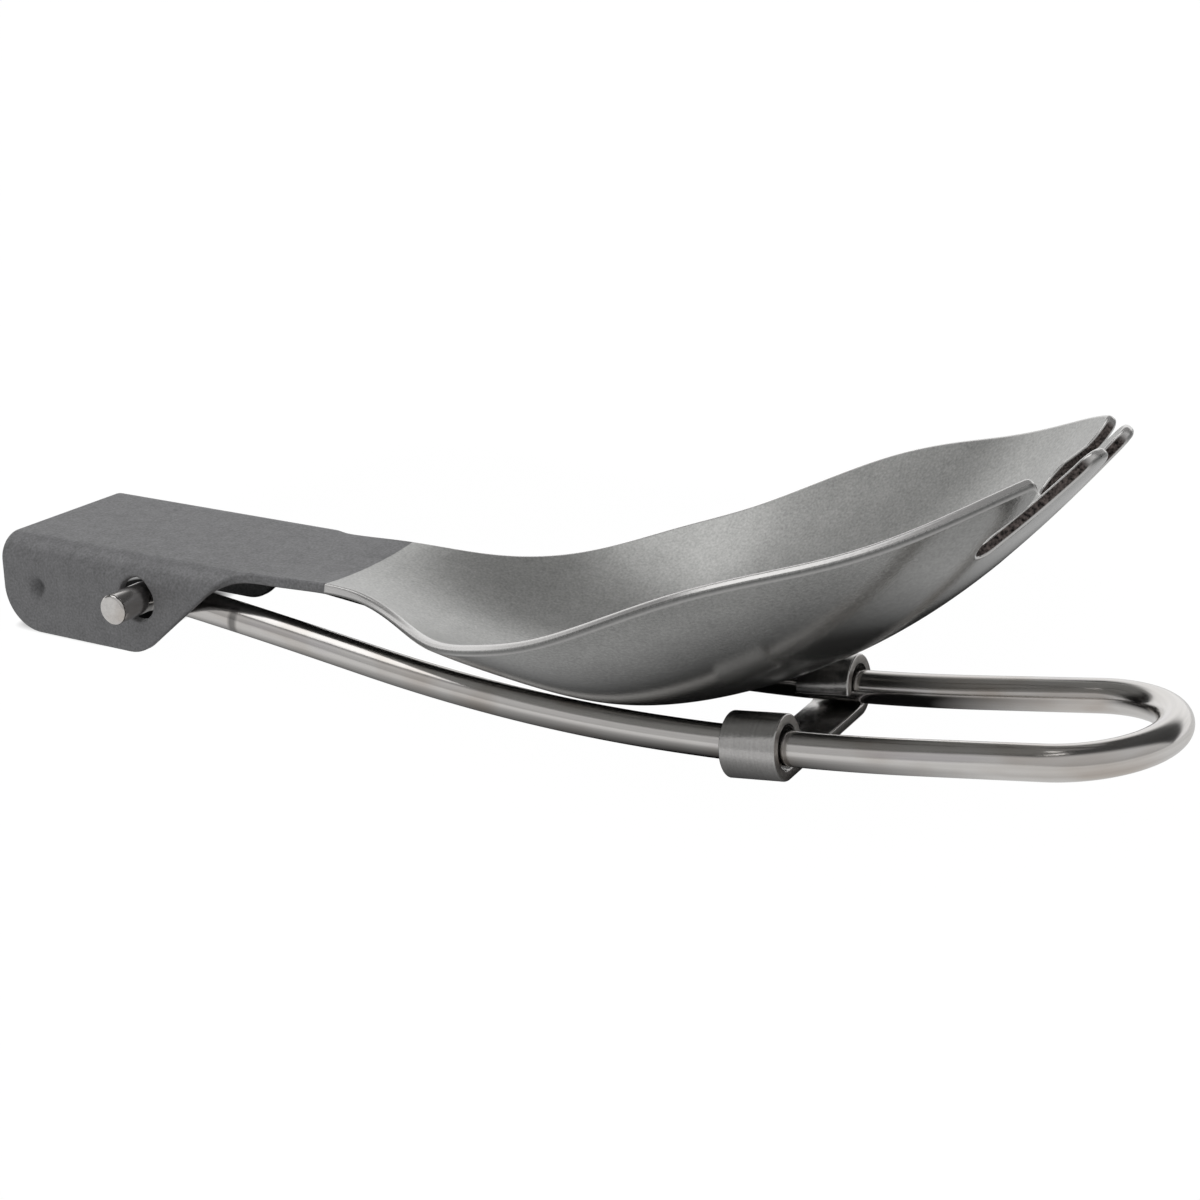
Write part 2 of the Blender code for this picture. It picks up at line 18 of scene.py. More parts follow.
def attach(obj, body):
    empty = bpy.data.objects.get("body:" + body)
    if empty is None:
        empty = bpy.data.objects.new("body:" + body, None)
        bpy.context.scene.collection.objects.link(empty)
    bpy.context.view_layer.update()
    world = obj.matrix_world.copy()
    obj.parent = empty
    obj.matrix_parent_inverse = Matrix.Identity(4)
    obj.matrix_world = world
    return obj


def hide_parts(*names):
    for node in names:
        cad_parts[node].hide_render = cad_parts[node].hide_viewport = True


bl_info = {
    "name": "Folding spork",
    "version": (1, 0, 0),
    "blender": (4, 5, 0),
    "location": "View3D > Sidebar > Spork",
    "description": "Makes the head, wire handle and lock strip of a folding spork, and its stage",
    "category": "Object",
}

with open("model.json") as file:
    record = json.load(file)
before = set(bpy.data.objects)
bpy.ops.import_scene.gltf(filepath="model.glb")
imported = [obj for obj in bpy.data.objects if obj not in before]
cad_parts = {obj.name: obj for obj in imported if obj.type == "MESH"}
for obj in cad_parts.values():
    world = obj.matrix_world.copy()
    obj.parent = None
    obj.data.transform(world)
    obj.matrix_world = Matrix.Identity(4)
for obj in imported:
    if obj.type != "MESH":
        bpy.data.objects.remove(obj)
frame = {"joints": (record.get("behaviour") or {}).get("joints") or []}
MM = 0.001
PROBE = 0.02 * MM            # small step that slopes and normals are measured over

# Where the CAD has the pivot, and the slope that the lock strip slides along
joints = {joint["name"]: joint for joint in frame["joints"]}
PIVOT = np.array(joints["handle_fold"]["pos_m"])
SLIDE = np.array(joints["lock_slide"]["axis"])
PIVOT_HEIGHT = 4.85 * MM     # above the channel's lower edges
GROUND = np.array([PIVOT[0], 0.0, PIVOT[2] - PIVOT_HEIGHT])

# Sheet of the head, with its channel, neck and bowl
HEAD_REACH = 79.2 * MM
CHANNEL_WIDTH = 17.1 * MM
CHANNEL_HEIGHT = 8.3 * MM
CHANNEL_TAIL = 14.9 * MM
FOLD_RADIUS = 2.2 * MM
TAIL_RADIUS = 3.8 * MM
HEEL_RADIUS = 3.5 * MM
HEEL_SETBACK = 0.2 * MM
HEEL_SLOPE = math.radians(41.8)
NECK_FILLET = 0.9 * MM
NECK_WIDTH = 13.0 * MM
NECK_START = 11.0 * MM
NECK_BLEND = 1.0 * MM        # half of the run where the wall goes over into the neck
FORM_BLEND = 1.5 * MM        # how far before the neck the folds begin to open
BOWL_WIDTH = 39.6 * MM
BOWL_DEPTH = 11.9 * MM
BELLY_DROP = 5.2 * MM
TIP_RISE = 24.0 * MM
bowl_centre_share = 0.683
rear_place_shares = np.array([0.139, 0.215, 0.278, 0.341, 0.404, 0.480, 0.556])
drop_shares = np.array([0.0, 0.01, 0.11, 0.38, 0.68, 0.90, 1.0])
front_place_shares = np.array([0.631, 0.707, 0.783, 0.859, 0.934, 1.0])
rise_shares = np.array([0.045, 0.146, 0.287, 0.480, 0.734, 1.0])
dishing_place_shares = np.append(rear_place_shares, [0.631, 0.78, 0.92, 1.0])
dishing_shares = np.array([0.0, 0.24, 0.52, 0.67, 0.745, 0.81, 0.89, 0.955, 0.97, 0.98, 1.18])
flare_place_shares = np.append(rear_place_shares, [0.631, 0.683])
flare_shares = np.array([0.0, 0.0, 0.038, 0.21, 0.47, 0.75, 0.91, 0.985, 1.0])

# Slots between the tines: root radius, length, root and two tine sides from the centre plane
MIDDLE_SLOT = (0.9 * MM, 8.0 * MM, 0.0, -2.0 * MM, 2.0 * MM)
SIDE_SLOT = (1.2 * MM, 7.2 * MM, 7.8 * MM, 4.7 * MM, 8.1 * MM)
TIP_ROUND = 1.1 * MM
SLOT_EDGE_START, SLOT_EDGE_END = 0.1 * MM, 0.6 * MM  # behind the front, where a slot's face begins
slot_start_shares = (0.86, 0.88)

# Where the rim's edge goes over from the channel's radius to the bowl's
RIM_START, RIM_END = 14.0 * MM, 26.0 * MM

# Points on curves before they are spread evenly, and on rings and edges
SEARCH_POINTS, SIDE_POINTS, FRONT_POINTS, TAIL_POINTS, ARC_POINTS = 4001, 1200, 200, 90, 60
RIM_FINER, FOLD_FINER = 3, 2.5    # how much closer points lie along the edges and in the folds
ring_shares = (0.1, 1.2)          # first and last ring round a dimple, of its radius
clear_of_dimple, clear_of_hole, clear_of_rim = 1.3, 1.05, 0.45
HOLE_POINTS, DIMPLE_POINTS, DIMPLE_RINGS = 96, 36, 12
BAND_POINTS, TRIANGLE_SLACK = 7, 1e-6

# Pivot holes and pressed dimples
HOLE_RADIUS = 1.85 * MM
DIMPLE_PLACE = np.array([-11.1 * MM, 4.15 * MM])
DISH_RADIUS, DISH_DEPTH = 1.3 * MM, 0.45 * MM
BUMP_RADIUS, BUMP_HEIGHT = 1.2 * MM, 0.22 * MM

# Wire handle
LEG_GAP = 0.5 * MM
PIN_PROUD = 3.0 * MM
PIN_BEND = 2.0 * MM
LEG_STRAIGHT = 21.7 * MM
LONG_BEND_RADIUS = 180.0 * MM
LOOP_STRAIGHT = 8.9 * MM
LOOP_PAST_TINES = 5.57 * MM  # a touch less than the CAD's, whose crown has flat sides
LOOP_RADIUS = 6.95 * MM
SPREAD_START, SPREAD_END = 6.0 * MM, 48.0 * MM
FALL = math.radians(5.745)
NICK_RUN, NICK_SIZE = 14.0 * MM, 0.4 * MM  # dark mark, from the near pin's end
PIN_POINTS, PIN_BEND_POINTS, LEG_POINTS, CROWN_POINTS = 24, 20, 180, 40
WIRE_SIDES, WIRE_EDGE_POINTS, WIRE_END_POINTS = 48, 7, 5

# Lock strip
STRIP_LENGTH = 4.4 * MM
STRIP_SLACK = 0.32 * MM
CURL_SWEEP = math.radians(275)
strip_share = 0.715
CURL_POINTS, BRIDGE_POINTS, STRIP_END_POINTS, STRIP_CORNER_POINTS = 90, 40, 6, 5
LINE_POINTS = 4000

# Greys that the metal sees round the camera's side line, from the horizon behind the camera up
# over the spork and down to the horizon behind the table, as shares of half a turn
studio_greys = ((0.00, 0.45), (0.33, 0.60), (0.42, 0.05), (0.50, 0.04), (0.76, 0.06),
                (0.84, 1.00), (1.00, 1.00))
DOME_LOW, DOME_RISE = 0.12, 1.20

# Table: half its side, and the white that the camera and the metal see on it
TABLE_HALF = 3.0
CAMERA_WHITE, METAL_WHITE, GLOW = 0.95, 0.6, 1.05
painted_shadow_share = 0.12           # painted shadow: how light the table's paint is right under the spork
KEY_PLACE, KEY_SIZE, KEY_POWER = (-0.22, -0.09, 0.44), 0.3, 0.40
CLIP_START = 0.01


def length_prop(name, description, default):
    """Property that holds a length in metres."""
    return bpy.props.FloatProperty(name=name, description=description, default=default,
                                   unit="LENGTH", precision=5)


def angle_prop(name, description, degrees):
    """Property that holds an angle."""
    return bpy.props.FloatProperty(name=name, description=description,
                                   default=math.radians(degrees), subtype="ANGLE")


def colour_prop(name, description, default):
    """Property that holds a colour."""
    return bpy.props.FloatVectorProperty(name=name, description=description, default=default,
                                         subtype="COLOR", size=3)


class SporkSizes(bpy.types.PropertyGroup):
    """Sizes of the stock and its edges."""

    sheet: length_prop("Sheet", "Thickness of the head's sheet", 0.9 * MM)
    sheet_edge: length_prop("Sheet edge", "Edge radius of the channel and the slots", 0.2 * MM)
    rim_edge: length_prop("Rim edge", "Edge radius of the bowl's rim", 0.36 * MM)
    wire: length_prop("Wire", "Diameter of the handle's wire", 2.6 * MM)
    wire_edge: length_prop("Pin edge", "Edge radius of the wire's two ends", 0.25 * MM)
    strip: length_prop("Strip", "Thickness of the lock strip", 0.85 * MM)
    strip_edge: length_prop("Strip edge", "Edge radius of the lock strip", 0.14 * MM)
    mesh_step: length_prop("Mesh step", "Distance between points on the head", 0.45 * MM)


class SporkFinish(bpy.types.PropertyGroup):
    """Colours of the bare metal."""

    bowl: colour_prop("Bowl", "Satin metal of the neck and the bowl", (0.42, 0.42, 0.41))
    channel: colour_prop("Channel", "Blasted metal of the folded channel", (0.24, 0.24, 0.245))
    cut: colour_prop("Cut faces", "Metal on the faces of the slots", (0.075, 0.062, 0.058))
    # Colour of the lighter edges: partly rubbed metal, partly a painted highlight from above
    worn_and_highlight: colour_prop("Worn edges", "Rubbed edges of the bowl and tines", (0.66, 0.65, 0.64))
    # Painted shade on the lower half of the sheet's edge
    under: colour_prop("Under the rim", "Lower half of the sheet's edge", (0.10, 0.10, 0.10))
    wire: colour_prop("Wire", "Polished metal of the handle", (0.70, 0.68, 0.66))
    brown: colour_prop("Brown tint", "Faint brown on the wire", (0.42, 0.34, 0.27))
    violet: colour_prop("Violet tint", "Faint violet on the wire", (0.46, 0.42, 0.52))
    nick: colour_prop("Nick", "Dark mark across the wire near the channel", (0.05, 0.05, 0.05))
    strip: colour_prop("Strip", "Brushed metal of the lock strip", (0.52, 0.51, 0.50))
    flank: colour_prop("Strip flanks", "Speckled flanks of the lock strip", (0.42, 0.40, 0.38))
    coat_line: length_prop("Coat line", "Where along X the blasted finish ends", -17.3 * MM)


class SporkStage(bpy.types.PropertyGroup):
    """Camera and table."""

    azimuth: angle_prop("Azimuth", "Camera's turn round the spork", 28.5611)
    elevation: angle_prop("Elevation", "Camera's height above the horizon", 19.0860)
    distance: length_prop("Distance", "Camera to the point that it looks at", 0.165)
    aim: bpy.props.FloatVectorProperty(
        name="Aim", description="Point that the camera looks at",
        default=(0.0021, 0.00405, 0.00738), subtype="TRANSLATION", size=3, precision=5)
    lens: bpy.props.FloatProperty(
        name="Lens", description="Focal length in millimetres", default=61.646)
    table: colour_prop("Table", "Colour of the table", (0.16, 0.16, 0.16))


def smooth_curve(places, values, level_end=False):
    """Cubic spline through the given points: level at its start, level or unbent at its end."""
    steps = np.diff(places)
    rates = np.diff(values) / steps
    ties = np.zeros((len(places), len(places)))
    pulls = np.zeros(len(places))
    ties[0, :2] = 2 * steps[0], steps[0]
    pulls[0] = 6 * rates[0]
    for k in range(1, len(steps)):
        ties[k, k - 1:k + 2] = steps[k - 1], 2 * (steps[k - 1] + steps[k]), steps[k]
        pulls[k] = 6 * (rates[k] - rates[k - 1])
    ties[-1, -2:] = (steps[-1], 2 * steps[-1]) if level_end else (0.0, 1.0)
    pulls[-1] = -6 * rates[-1] if level_end else 0.0
    bends = np.linalg.solve(ties, pulls)

    def curve(x):
        x = np.clip(np.asarray(x, float), places[0], places[-1])
        k = np.clip(np.searchsorted(places, x) - 1, 0, len(places) - 2)
        to = (x - places[k]) / steps[k]
        back = 1 - to
        bend = (back**3 - back) * bends[k] + (to**3 - to) * bends[k + 1]
        return back * values[k] + to * values[k + 1] + steps[k] ** 2 / 6 * bend

    return curve


def smooth_step(x, start, end):
    """0 before start, 1 after end, with level ends."""
    t = np.clip((np.asarray(x, float) - start) / (end - start), 0.0, 1.0)
    return t * t * (3 - 2 * t)


def unit(vectors):
    """Vectors scaled to length 1."""
    return vectors / np.linalg.norm(vectors, axis=-1, keepdims=True)


def circle(turns):
    """Points of the unit circle at the given turns."""
    return np.stack([np.cos(turns), np.sin(turns)], -1)


def quarter_turn(count):
    """Even turns from 0 to a quarter turn."""
    return np.linspace(0.0, math.pi / 2, count)


def full_turn(count):
    """Even turns round, without the last one, which is the first again."""
    return np.linspace(0.0, 2 * math.pi, count + 1)[:-1]


def run_along(path):
    """Distance travelled along a polyline at each of its points."""
    return np.concatenate([[0.0], np.cumsum(np.linalg.norm(np.diff(path, axis=0), axis=1))])


def turned(points, angle):
    """Points turned about Y, so that a positive angle lowers what lies towards +X."""
    cos, sin = math.cos(angle), math.sin(angle)
    x, y, z = np.moveaxis(np.asarray(points, float), -1, 0)
    return np.stack([x * cos + z * sin, y, z * cos - x * sin], -1)


class Sheet:
    """Shape of the head as a function of a place in plan and an offset through the sheet.

    A place is the distance along X from the pivot and the run across, measured along the sheet
    in the channel and straight across in the neck and the bowl.
    """

    def __init__(self, thickness):
        self.half = thickness / 2
        self.plate = CHANNEL_HEIGHT - self.half
        self.flat = CHANNEL_WIDTH / 2 - FOLD_RADIUS
        self.fold = FOLD_RADIUS - self.half
        self.fold_run = self.fold * math.pi / 2
        self.wall_top = CHANNEL_HEIGHT - FOLD_RADIUS
        self.full_run = self.flat + self.fold_run + self.wall_top
        self.dimple_run = self.full_run - DIMPLE_PLACE[1]
        self.bowl_centre = bowl_centre_share * HEAD_REACH
        places = np.concatenate([rear_place_shares, front_place_shares]) * HEAD_REACH
        drops = np.concatenate([drop_shares * BELLY_DROP, BELLY_DROP - rise_shares * TIP_RISE])
        self.drop = smooth_curve(places, drops)
        self.dishing = smooth_curve(dishing_place_shares * HEAD_REACH, dishing_shares)
        self.flare = smooth_curve(flare_place_shares * HEAD_REACH, flare_shares, level_end=True)

    def folded(self, place):
        """Channel: level, then a quarter circle at the fold, then straight down the wall."""
        along, run = place[..., 0], place[..., 1]
        side, run = np.sign(run), np.abs(run)
        turn = np.clip((run - self.flat) / self.fold, 0.0, math.pi / 2)
        down = np.maximum(run - self.flat - self.fold_run, 0.0)
        across = side * (np.minimum(run, self.flat) + self.fold * np.sin(turn))
        height = self.plate - self.fold * (1 - np.cos(turn)) - down
        normal = np.stack([0 * along, side * np.sin(turn), np.cos(turn)], -1)
        return np.stack([along, across, height], -1), normal

    def dished_height(self, place):
        """Neck and bowl: the floor's curve along X plus a parabola across."""
        along, across = place[..., 0], place[..., 1]
        floor = self.plate - self.drop(along)
        return floor + self.dishing(along) * BOWL_DEPTH / (BOWL_WIDTH / 2) ** 2 * across**2

    def dished(self, place):
        """Point and normal in the neck and bowl, the normal from small steps both ways."""
        size = self.half / 4
        slope_x, slope_y = ((self.dished_height(place + step) - self.dished_height(place - step))
                            / (2 * size) for step in size * np.eye(2))
        point = np.concatenate([place, self.dished_height(place)[..., None]], -1)
        return point, unit(np.stack([-slope_x, -slope_y, 0 * slope_x + 1], -1))

    def point(self, place, offset):
        """Point at an offset along the sheet's normal; the channel blends into the neck."""
        channel, channel_normal = self.folded(place)
        bowl, bowl_normal = self.dished(place)
        blend = smooth_step(place[..., 0], NECK_START - FORM_BLEND, NECK_START + NECK_BLEND)
        normal = unit(channel_normal + (bowl_normal - channel_normal) * blend[..., None])
        middle = channel + (bowl - channel) * blend[..., None]
        return GROUND + middle + normal * np.asarray(offset)[..., None]

    def pressed(self, place, radius):
        """Dimple in each wall, half a cosine wave: 1 in its middle, 0 at the radius."""
        away = np.hypot(place[..., 0] - DIMPLE_PLACE[0], np.abs(place[..., 1]) - self.dimple_run)
        return 0.5 + 0.5 * np.cos(math.pi * np.clip(away / radius, 0.0, 1.0))

    def skin(self, place, side):
        """Upper (side 1) or lower (side -1) skin, its dimples sunk outside and raised inside."""
        radius, depth = (DISH_RADIUS, DISH_DEPTH) if side > 0 else (BUMP_RADIUS, BUMP_HEIGHT)
        return self.point(place, side * self.half - depth * self.pressed(place, radius))

    def skin_normal(self, place, side):
        """Normal of a skin: the cross product of small steps along and across."""
        along, across = (self.skin(place + step, side) - self.skin(place - step, side)
                         for step in PROBE * np.eye(2))
        return side * unit(np.cross(along, across))

    def inward(self, place, plan_normal):
        """Step in plan that goes square from an edge into the sheet, 1 long on the sheet.

        It is the plan normal times the inverse of the sheet's metric, over its length.
        """
        along, across = ((self.point(place + step, 0.0) - self.point(place - step, 0.0))
                         / (2 * PROBE) for step in PROBE * np.eye(2))
        aa, ab, bb = (along**2).sum(-1), (along * across).sum(-1), (across**2).sum(-1)
        area = aa * bb - ab**2
        nu, nv = plan_normal[:, 0], plan_normal[:, 1]
        step_u, step_v = (bb * nu - ab * nv) / area, (aa * nv - ab * nu) / area
        length = np.sqrt(nu * step_u + nv * step_v)
        plan = np.stack([step_u, step_v], -1) / length[:, None]
        return plan, along * plan[:, :1] + across * plan[:, 1:]

    def wall_edge(self, along):
        """Height of a wall's lower edge: a round tail, a flat, a round heel, a slope."""
        into_tail = np.clip(TAIL_RADIUS - (along + CHANNEL_TAIL), 0.0, TAIL_RADIUS)
        tail = TAIL_RADIUS - np.sqrt(TAIL_RADIUS**2 - into_tail**2)
        heel_start = HEEL_SETBACK - HEEL_RADIUS * math.tan(HEEL_SLOPE / 2)
        heel_run = HEEL_RADIUS * math.sin(HEEL_SLOPE)
        into_heel = np.clip(along - heel_start, 0.0, heel_run)
        heel = HEEL_RADIUS - np.sqrt(HEEL_RADIUS**2 - into_heel**2)
        return tail + heel + np.maximum(along - heel_start - heel_run, 0.0) * math.tan(HEEL_SLOPE)

    def half_width(self, along):
        """Half-width behind the widest place: wall and neck softly joined, then the flare."""
        wall = self.full_run - self.wall_edge(along)
        neck = NECK_WIDTH / 2
        soft = NECK_FILLET**2 * smooth_step(along, 0.0, NECK_START / 2)
        rear = 0.5 * (wall + neck + np.sqrt((wall - neck) ** 2 + soft))
        front = neck + (BOWL_WIDTH / 2 - neck) * self.flare(along)
        return rear + (front - rear) * smooth_step(along, NECK_START - NECK_BLEND,
                                                   NECK_START + NECK_BLEND)

    def front(self, across):
        """Place along X of the front of the outline, half an ellipse."""
        out = np.maximum(1 - (across / (BOWL_WIDTH / 2)) ** 2, 0.0)
        return self.bowl_centre + (HEAD_REACH - self.bowl_centre) * np.sqrt(out)

    def tine_side(self, root, tip, flip):
        """Side of a tine from a slot's root: straight, then an arc that runs into the front.

        The arc's centre is where the front, moved in by the radius, is a radius from the side.
        """
        reach, half = HEAD_REACH - self.bowl_centre, BOWL_WIDTH / 2
        cos, sin = circle(np.linspace(0.0, math.pi, SEARCH_POINTS)).T
        ellipse = np.stack([self.bowl_centre + reach * sin, half * cos], -1)
        normal = unit(np.stack([sin / reach, cos / half], -1))
        centres = ellipse - TIP_ROUND * normal
        k = np.argmin(np.abs(centres[:, 1] - (tip + flip * TIP_ROUND)))
        turn = np.linspace(0.0, math.atan2(normal[k, 0], -flip * normal[k, 1]), ARC_POINTS)
        corner = centres[k] + TIP_ROUND * np.stack([np.sin(turn), -flip * np.cos(turn)], -1)
        share = np.linspace(0.0, 1.0, ARC_POINTS)[1:, None]
        return np.concatenate([root + (corner[0] - root) * share, corner[1:]])

    def slot(self, radius, length, root_out, inner, outer):
        """Slot from its outer mouth round the root to its inner mouth."""
        centre = np.array([HEAD_REACH - length + radius, root_out])
        root = centre + radius * circle(np.linspace(math.pi / 2, 3 * math.pi / 2, ARC_POINTS))
        return np.concatenate([self.tine_side(root[0], outer, 1)[::-1], root,
                               self.tine_side(root[-1], inner, -1)])

    def outline(self, step):
        """Closed outline in plan at even steps, with the sheet on the right of the way round."""
        end_run = float(self.half_width(np.array([-CHANNEL_TAIL]))[0])
        end = np.stack([np.full(ARC_POINTS, -CHANNEL_TAIL),
                        np.linspace(0.0, end_run, ARC_POINTS + 1)[:-1]], -1)
        corner = -CHANNEL_TAIL + TAIL_RADIUS * (1 - np.cos(quarter_turn(TAIL_POINTS)))
        along = np.append(corner, np.linspace(corner[-1], self.bowl_centre, SIDE_POINTS)[1:])
        side = np.stack([along, self.half_width(along)], -1)
        outer, middle = self.slot(*SIDE_SLOT), self.slot(*MIDDLE_SLOT)
        middle = middle[middle[:, 1] >= 0.0]
        half = np.concatenate([end, side, self.front_arc(side[-1, 1], outer[0, 1]), outer,
                               self.front_arc(outer[-1, 1], middle[0, 1]), middle])
        return even_loop(np.concatenate([half, half[::-1] * [1.0, -1.0]]), step)

    def in_slot(self, place):
        """1 on the edges of the slots, 0 on the rest of the outline: how far inside the front."""
        behind = self.front(place[:, 1]) - place[:, 0]
        near_tips = smooth_step(place[:, 0], *(share * HEAD_REACH for share in slot_start_shares))
        return smooth_step(behind, SLOT_EDGE_START, SLOT_EDGE_END) * near_tips

    def front_arc(self, start, end):
        """Front ellipse between two distances from the centre plane, both left out."""
        ends = np.arccos(np.array([start, end]) / (BOWL_WIDTH / 2))
        turn = np.linspace(*ends, FRONT_POINTS)[1:-1]
        across = BOWL_WIDTH / 2 * np.cos(turn)
        return np.stack([self.front(across), across], -1)

    def hole(self, flip):
        """Pivot hole in one wall: a circle seen from the side, as runs down the sheet."""
        turn = full_turn(HOLE_POINTS)
        height = PIVOT_HEIGHT + HOLE_RADIUS * np.sin(turn)
        fold = np.arccos(np.clip((height - self.wall_top) / self.fold, 0.0, 1.0))
        run = self.flat + self.fold * fold + np.maximum(self.wall_top - height, 0.0)
        loop = np.stack([HOLE_RADIUS * np.cos(turn), run], -1)
        return loop[::-1] if flip > 0 else loop * [1.0, -1.0]


def even_loop(points, step):
    """Closed polyline with its points spread at even steps."""
    closed = np.concatenate([points, points[:1]])
    run = run_along(closed)
    keep = np.concatenate([[True], np.diff(run) > 0])
    places = np.linspace(0.0, run[-1], int(run[-1] / step) + 1)[:-1]
    return np.stack([np.interp(places, run[keep], closed[keep, k]) for k in (0, 1)], -1)


BLOCK = 2000                 # points compared with a whole loop at a time, to save memory


def inside(points, loop):
    """Whether points lie inside a closed polyline: an odd number of its edges lie beside them."""
    result = np.zeros(len(points), bool)
    start, end = loop, np.roll(loop, -1, 0)
    for block in np.array_split(np.arange(len(points)), max(1, len(points) // BLOCK)):
        x, y = points[block, 0, None], points[block, 1, None]
        spans = (start[:, 1] > y) != (end[:, 1] > y)
        rise = np.where(end[:, 1] == start[:, 1], 1.0, end[:, 1] - start[:, 1])
        crossing = start[:, 0] + (y - start[:, 1]) / rise * (end[:, 0] - start[:, 0])
        result[block] = (spans & (x < crossing)).sum(1) % 2 == 1
    return result


def least_distance(points, others):
    """Distance from each point to the nearest of the others."""
    blocks = np.array_split(points, max(1, len(points) // BLOCK))
    return np.concatenate([np.linalg.norm(block[:, None] - others, axis=2).min(1)
                           for block in blocks])


def add_piece(name, points, faces, normals=None):
    """New smooth-shaded object at the origin from arrays of points and faces."""
    mesh = bpy.data.meshes.new(name)
    mesh.from_pydata(points.tolist(), [], faces)
    mesh.polygons.foreach_set("use_smooth", np.ones(len(mesh.polygons), bool))
    if normals is not None:
        mesh.normals_split_custom_set_from_vertices(normals.tolist())
    mesh.update()
    piece = bpy.data.objects.new(name, mesh)
    bpy.context.scene.collection.objects.link(piece)
    return piece


def add_attribute(piece, name, values):
    """Store one number, or one vector, for each point."""
    kind, field = ("FLOAT_VECTOR", "vector") if values.ndim == 2 else ("FLOAT", "value")
    attribute = piece.data.attributes.new(name, kind, "POINT")
    attribute.data.foreach_set(field, values.ravel())


def make_head(sizes):
    """Head: two skins triangulated over the plan, joined round every edge by a rounded band.

    The band is a profile carried round each loop: a quarter circle over the edge, the straight
    cut face, and a quarter circle under it. Its radius is larger round the rim of the bowl. The
    points carry marks for the finish and for painted light: cut face, slot, lower half of the edge
    (painted shade), lower skin (painted shade on the outside), dimple (painted shade).
    """
    sheet = Sheet(sizes.sheet)
    loops = [sheet.outline(sizes.mesh_step / RIM_FINER), sheet.hole(1), sheet.hole(-1)]
    starts = np.cumsum([0] + [len(loop) for loop in loops])
    edge = np.concatenate(loops)
    following = np.concatenate([np.roll(np.arange(a, b), -1) for a, b in zip(starts, starts[1:])])
    travel = np.concatenate([np.roll(loop, -1, 0) - np.roll(loop, 1, 0) for loop in loops])
    step_in, into = sheet.inward(edge, unit(np.stack([travel[:, 1], -travel[:, 0]], -1)))

    slot = sheet.in_slot(edge)
    bowl = smooth_step(edge[:, 0], RIM_START, RIM_END) * (1 - slot)
    radius = (sizes.sheet_edge + (sizes.rim_edge - sizes.sheet_edge) * bowl)[:, None]

    quarter = quarter_turn(BAND_POINTS)
    level = np.sin(np.concatenate([quarter, quarter[::-1]]))
    facing = np.concatenate([np.cos(quarter), -np.cos(quarter[::-1])])
    side = np.repeat([1.0, -1.0], len(quarter))
    place = edge[:, None] + (radius * (1 - level))[..., None] * step_in[:, None]
    band = sheet.point(place, side * (sheet.half - radius * (1 - np.abs(facing))))
    sheet_up = unit(sheet.point(edge, PROBE) - sheet.point(edge, 0.0))
    band_normal = unit(facing[None, :, None] * sheet_up[:, None]
                       - level[None, :, None] * unit(into)[:, None])
    band, band_normal = (rows[:, 1:-1].transpose(1, 0, 2).reshape(-1, 3)
                         for rows in (band, band_normal))

    rim = edge + step_in * radius
    inner = inner_points(sheet, loops, rim, sizes.mesh_step)
    plan = np.concatenate([rim, inner])
    segments = np.stack([np.arange(len(rim)), following], -1)
    tris = triangles(plan, segments)
    for start, end in zip(starts[1:], starts[2:]):
        tris = tris[~inside(plan[tris].mean(1), rim[start:end])]

    count, rims, rows = len(plan), len(rim), len(level) - 2
    points = np.concatenate([sheet.skin(plan, 1), sheet.skin(plan, -1), band])
    normals = np.concatenate([sheet.skin_normal(plan, 1), sheet.skin_normal(plan, -1),
                              band_normal])
    columns = [start + np.arange(rims)
               for start in (0, *(2 * count + k * rims for k in range(rows)), count)]
    quads = [np.stack([a, a[following], b[following], b], -1)
             for a, b in zip(columns, columns[1:])]
    faces = tris.tolist() + (tris[:, ::-1] + count).tolist() + np.concatenate(quads).tolist()
    head = add_piece("head_sheet", points, faces, normals)

    none, level, facing = np.zeros(count), level[1:-1], facing[1:-1]
    slot_skin = np.concatenate([slot, np.zeros(len(inner))])
    marks = {
        "cut": (none, none, np.repeat(level, rims)),
        "slot": (slot_skin, slot_skin, np.tile(slot, rows)),
        # Painted shade on the lower half of the edge band
        "under": (none, none, np.repeat(np.sin(math.pi * np.clip(-facing, 0.0, 1.0)), rims)),
        # Lower skin and lower edge: painted shade on the outside, and a smoother finish
        "outside": (none, none + 1, np.repeat(smooth_step(-facing, 0.0, 1.0), rims)),
        # Dimple depth, for the painted shade in the dimples
        "press": (sheet.pressed(plan, DISH_RADIUS), none, np.zeros(rows * rims)),
    }
    for name, values in marks.items():
        add_attribute(head, name, np.concatenate(values))
    return head


def inner_points(sheet, loops, rim, step):
    """Grid points in the outline, closer in the folds and in rings round dimples, clear of holes.
    """
    along = np.arange(-CHANNEL_TAIL, HEAD_REACH, step)
    fold = sheet.flat + np.arange(0.0, sheet.fold_run, step / FOLD_FINER)
    half = np.concatenate([np.arange(step / 2, sheet.flat - step / 3, step), fold,
                           np.arange(fold[-1] + step, BOWL_WIDTH / 2, step)])
    grid = np.stack(np.meshgrid(along, np.concatenate([-half[::-1], half])), -1).reshape(-1, 2)
    radii = DISH_RADIUS * np.linspace(*ring_shares, DIMPLE_RINGS)
    rings = (radii[:, None, None] * circle(full_turn(DIMPLE_POINTS))).reshape(-1, 2)
    for flip in (1, -1):
        centre = np.array([DIMPLE_PLACE[0], flip * sheet.dimple_run])
        grid = grid[np.linalg.norm(grid - centre, axis=1) > DISH_RADIUS * clear_of_dimple]
        grid = np.concatenate([grid, rings + centre])
    grid = grid[inside(grid, rim[:len(loops[0])])]
    for loop in loops[1:]:
        grid = grid[np.linalg.norm(grid - loop.mean(0), axis=1) > HOLE_RADIUS * clear_of_hole]
    return grid[least_distance(grid, rim) > step * clear_of_rim]


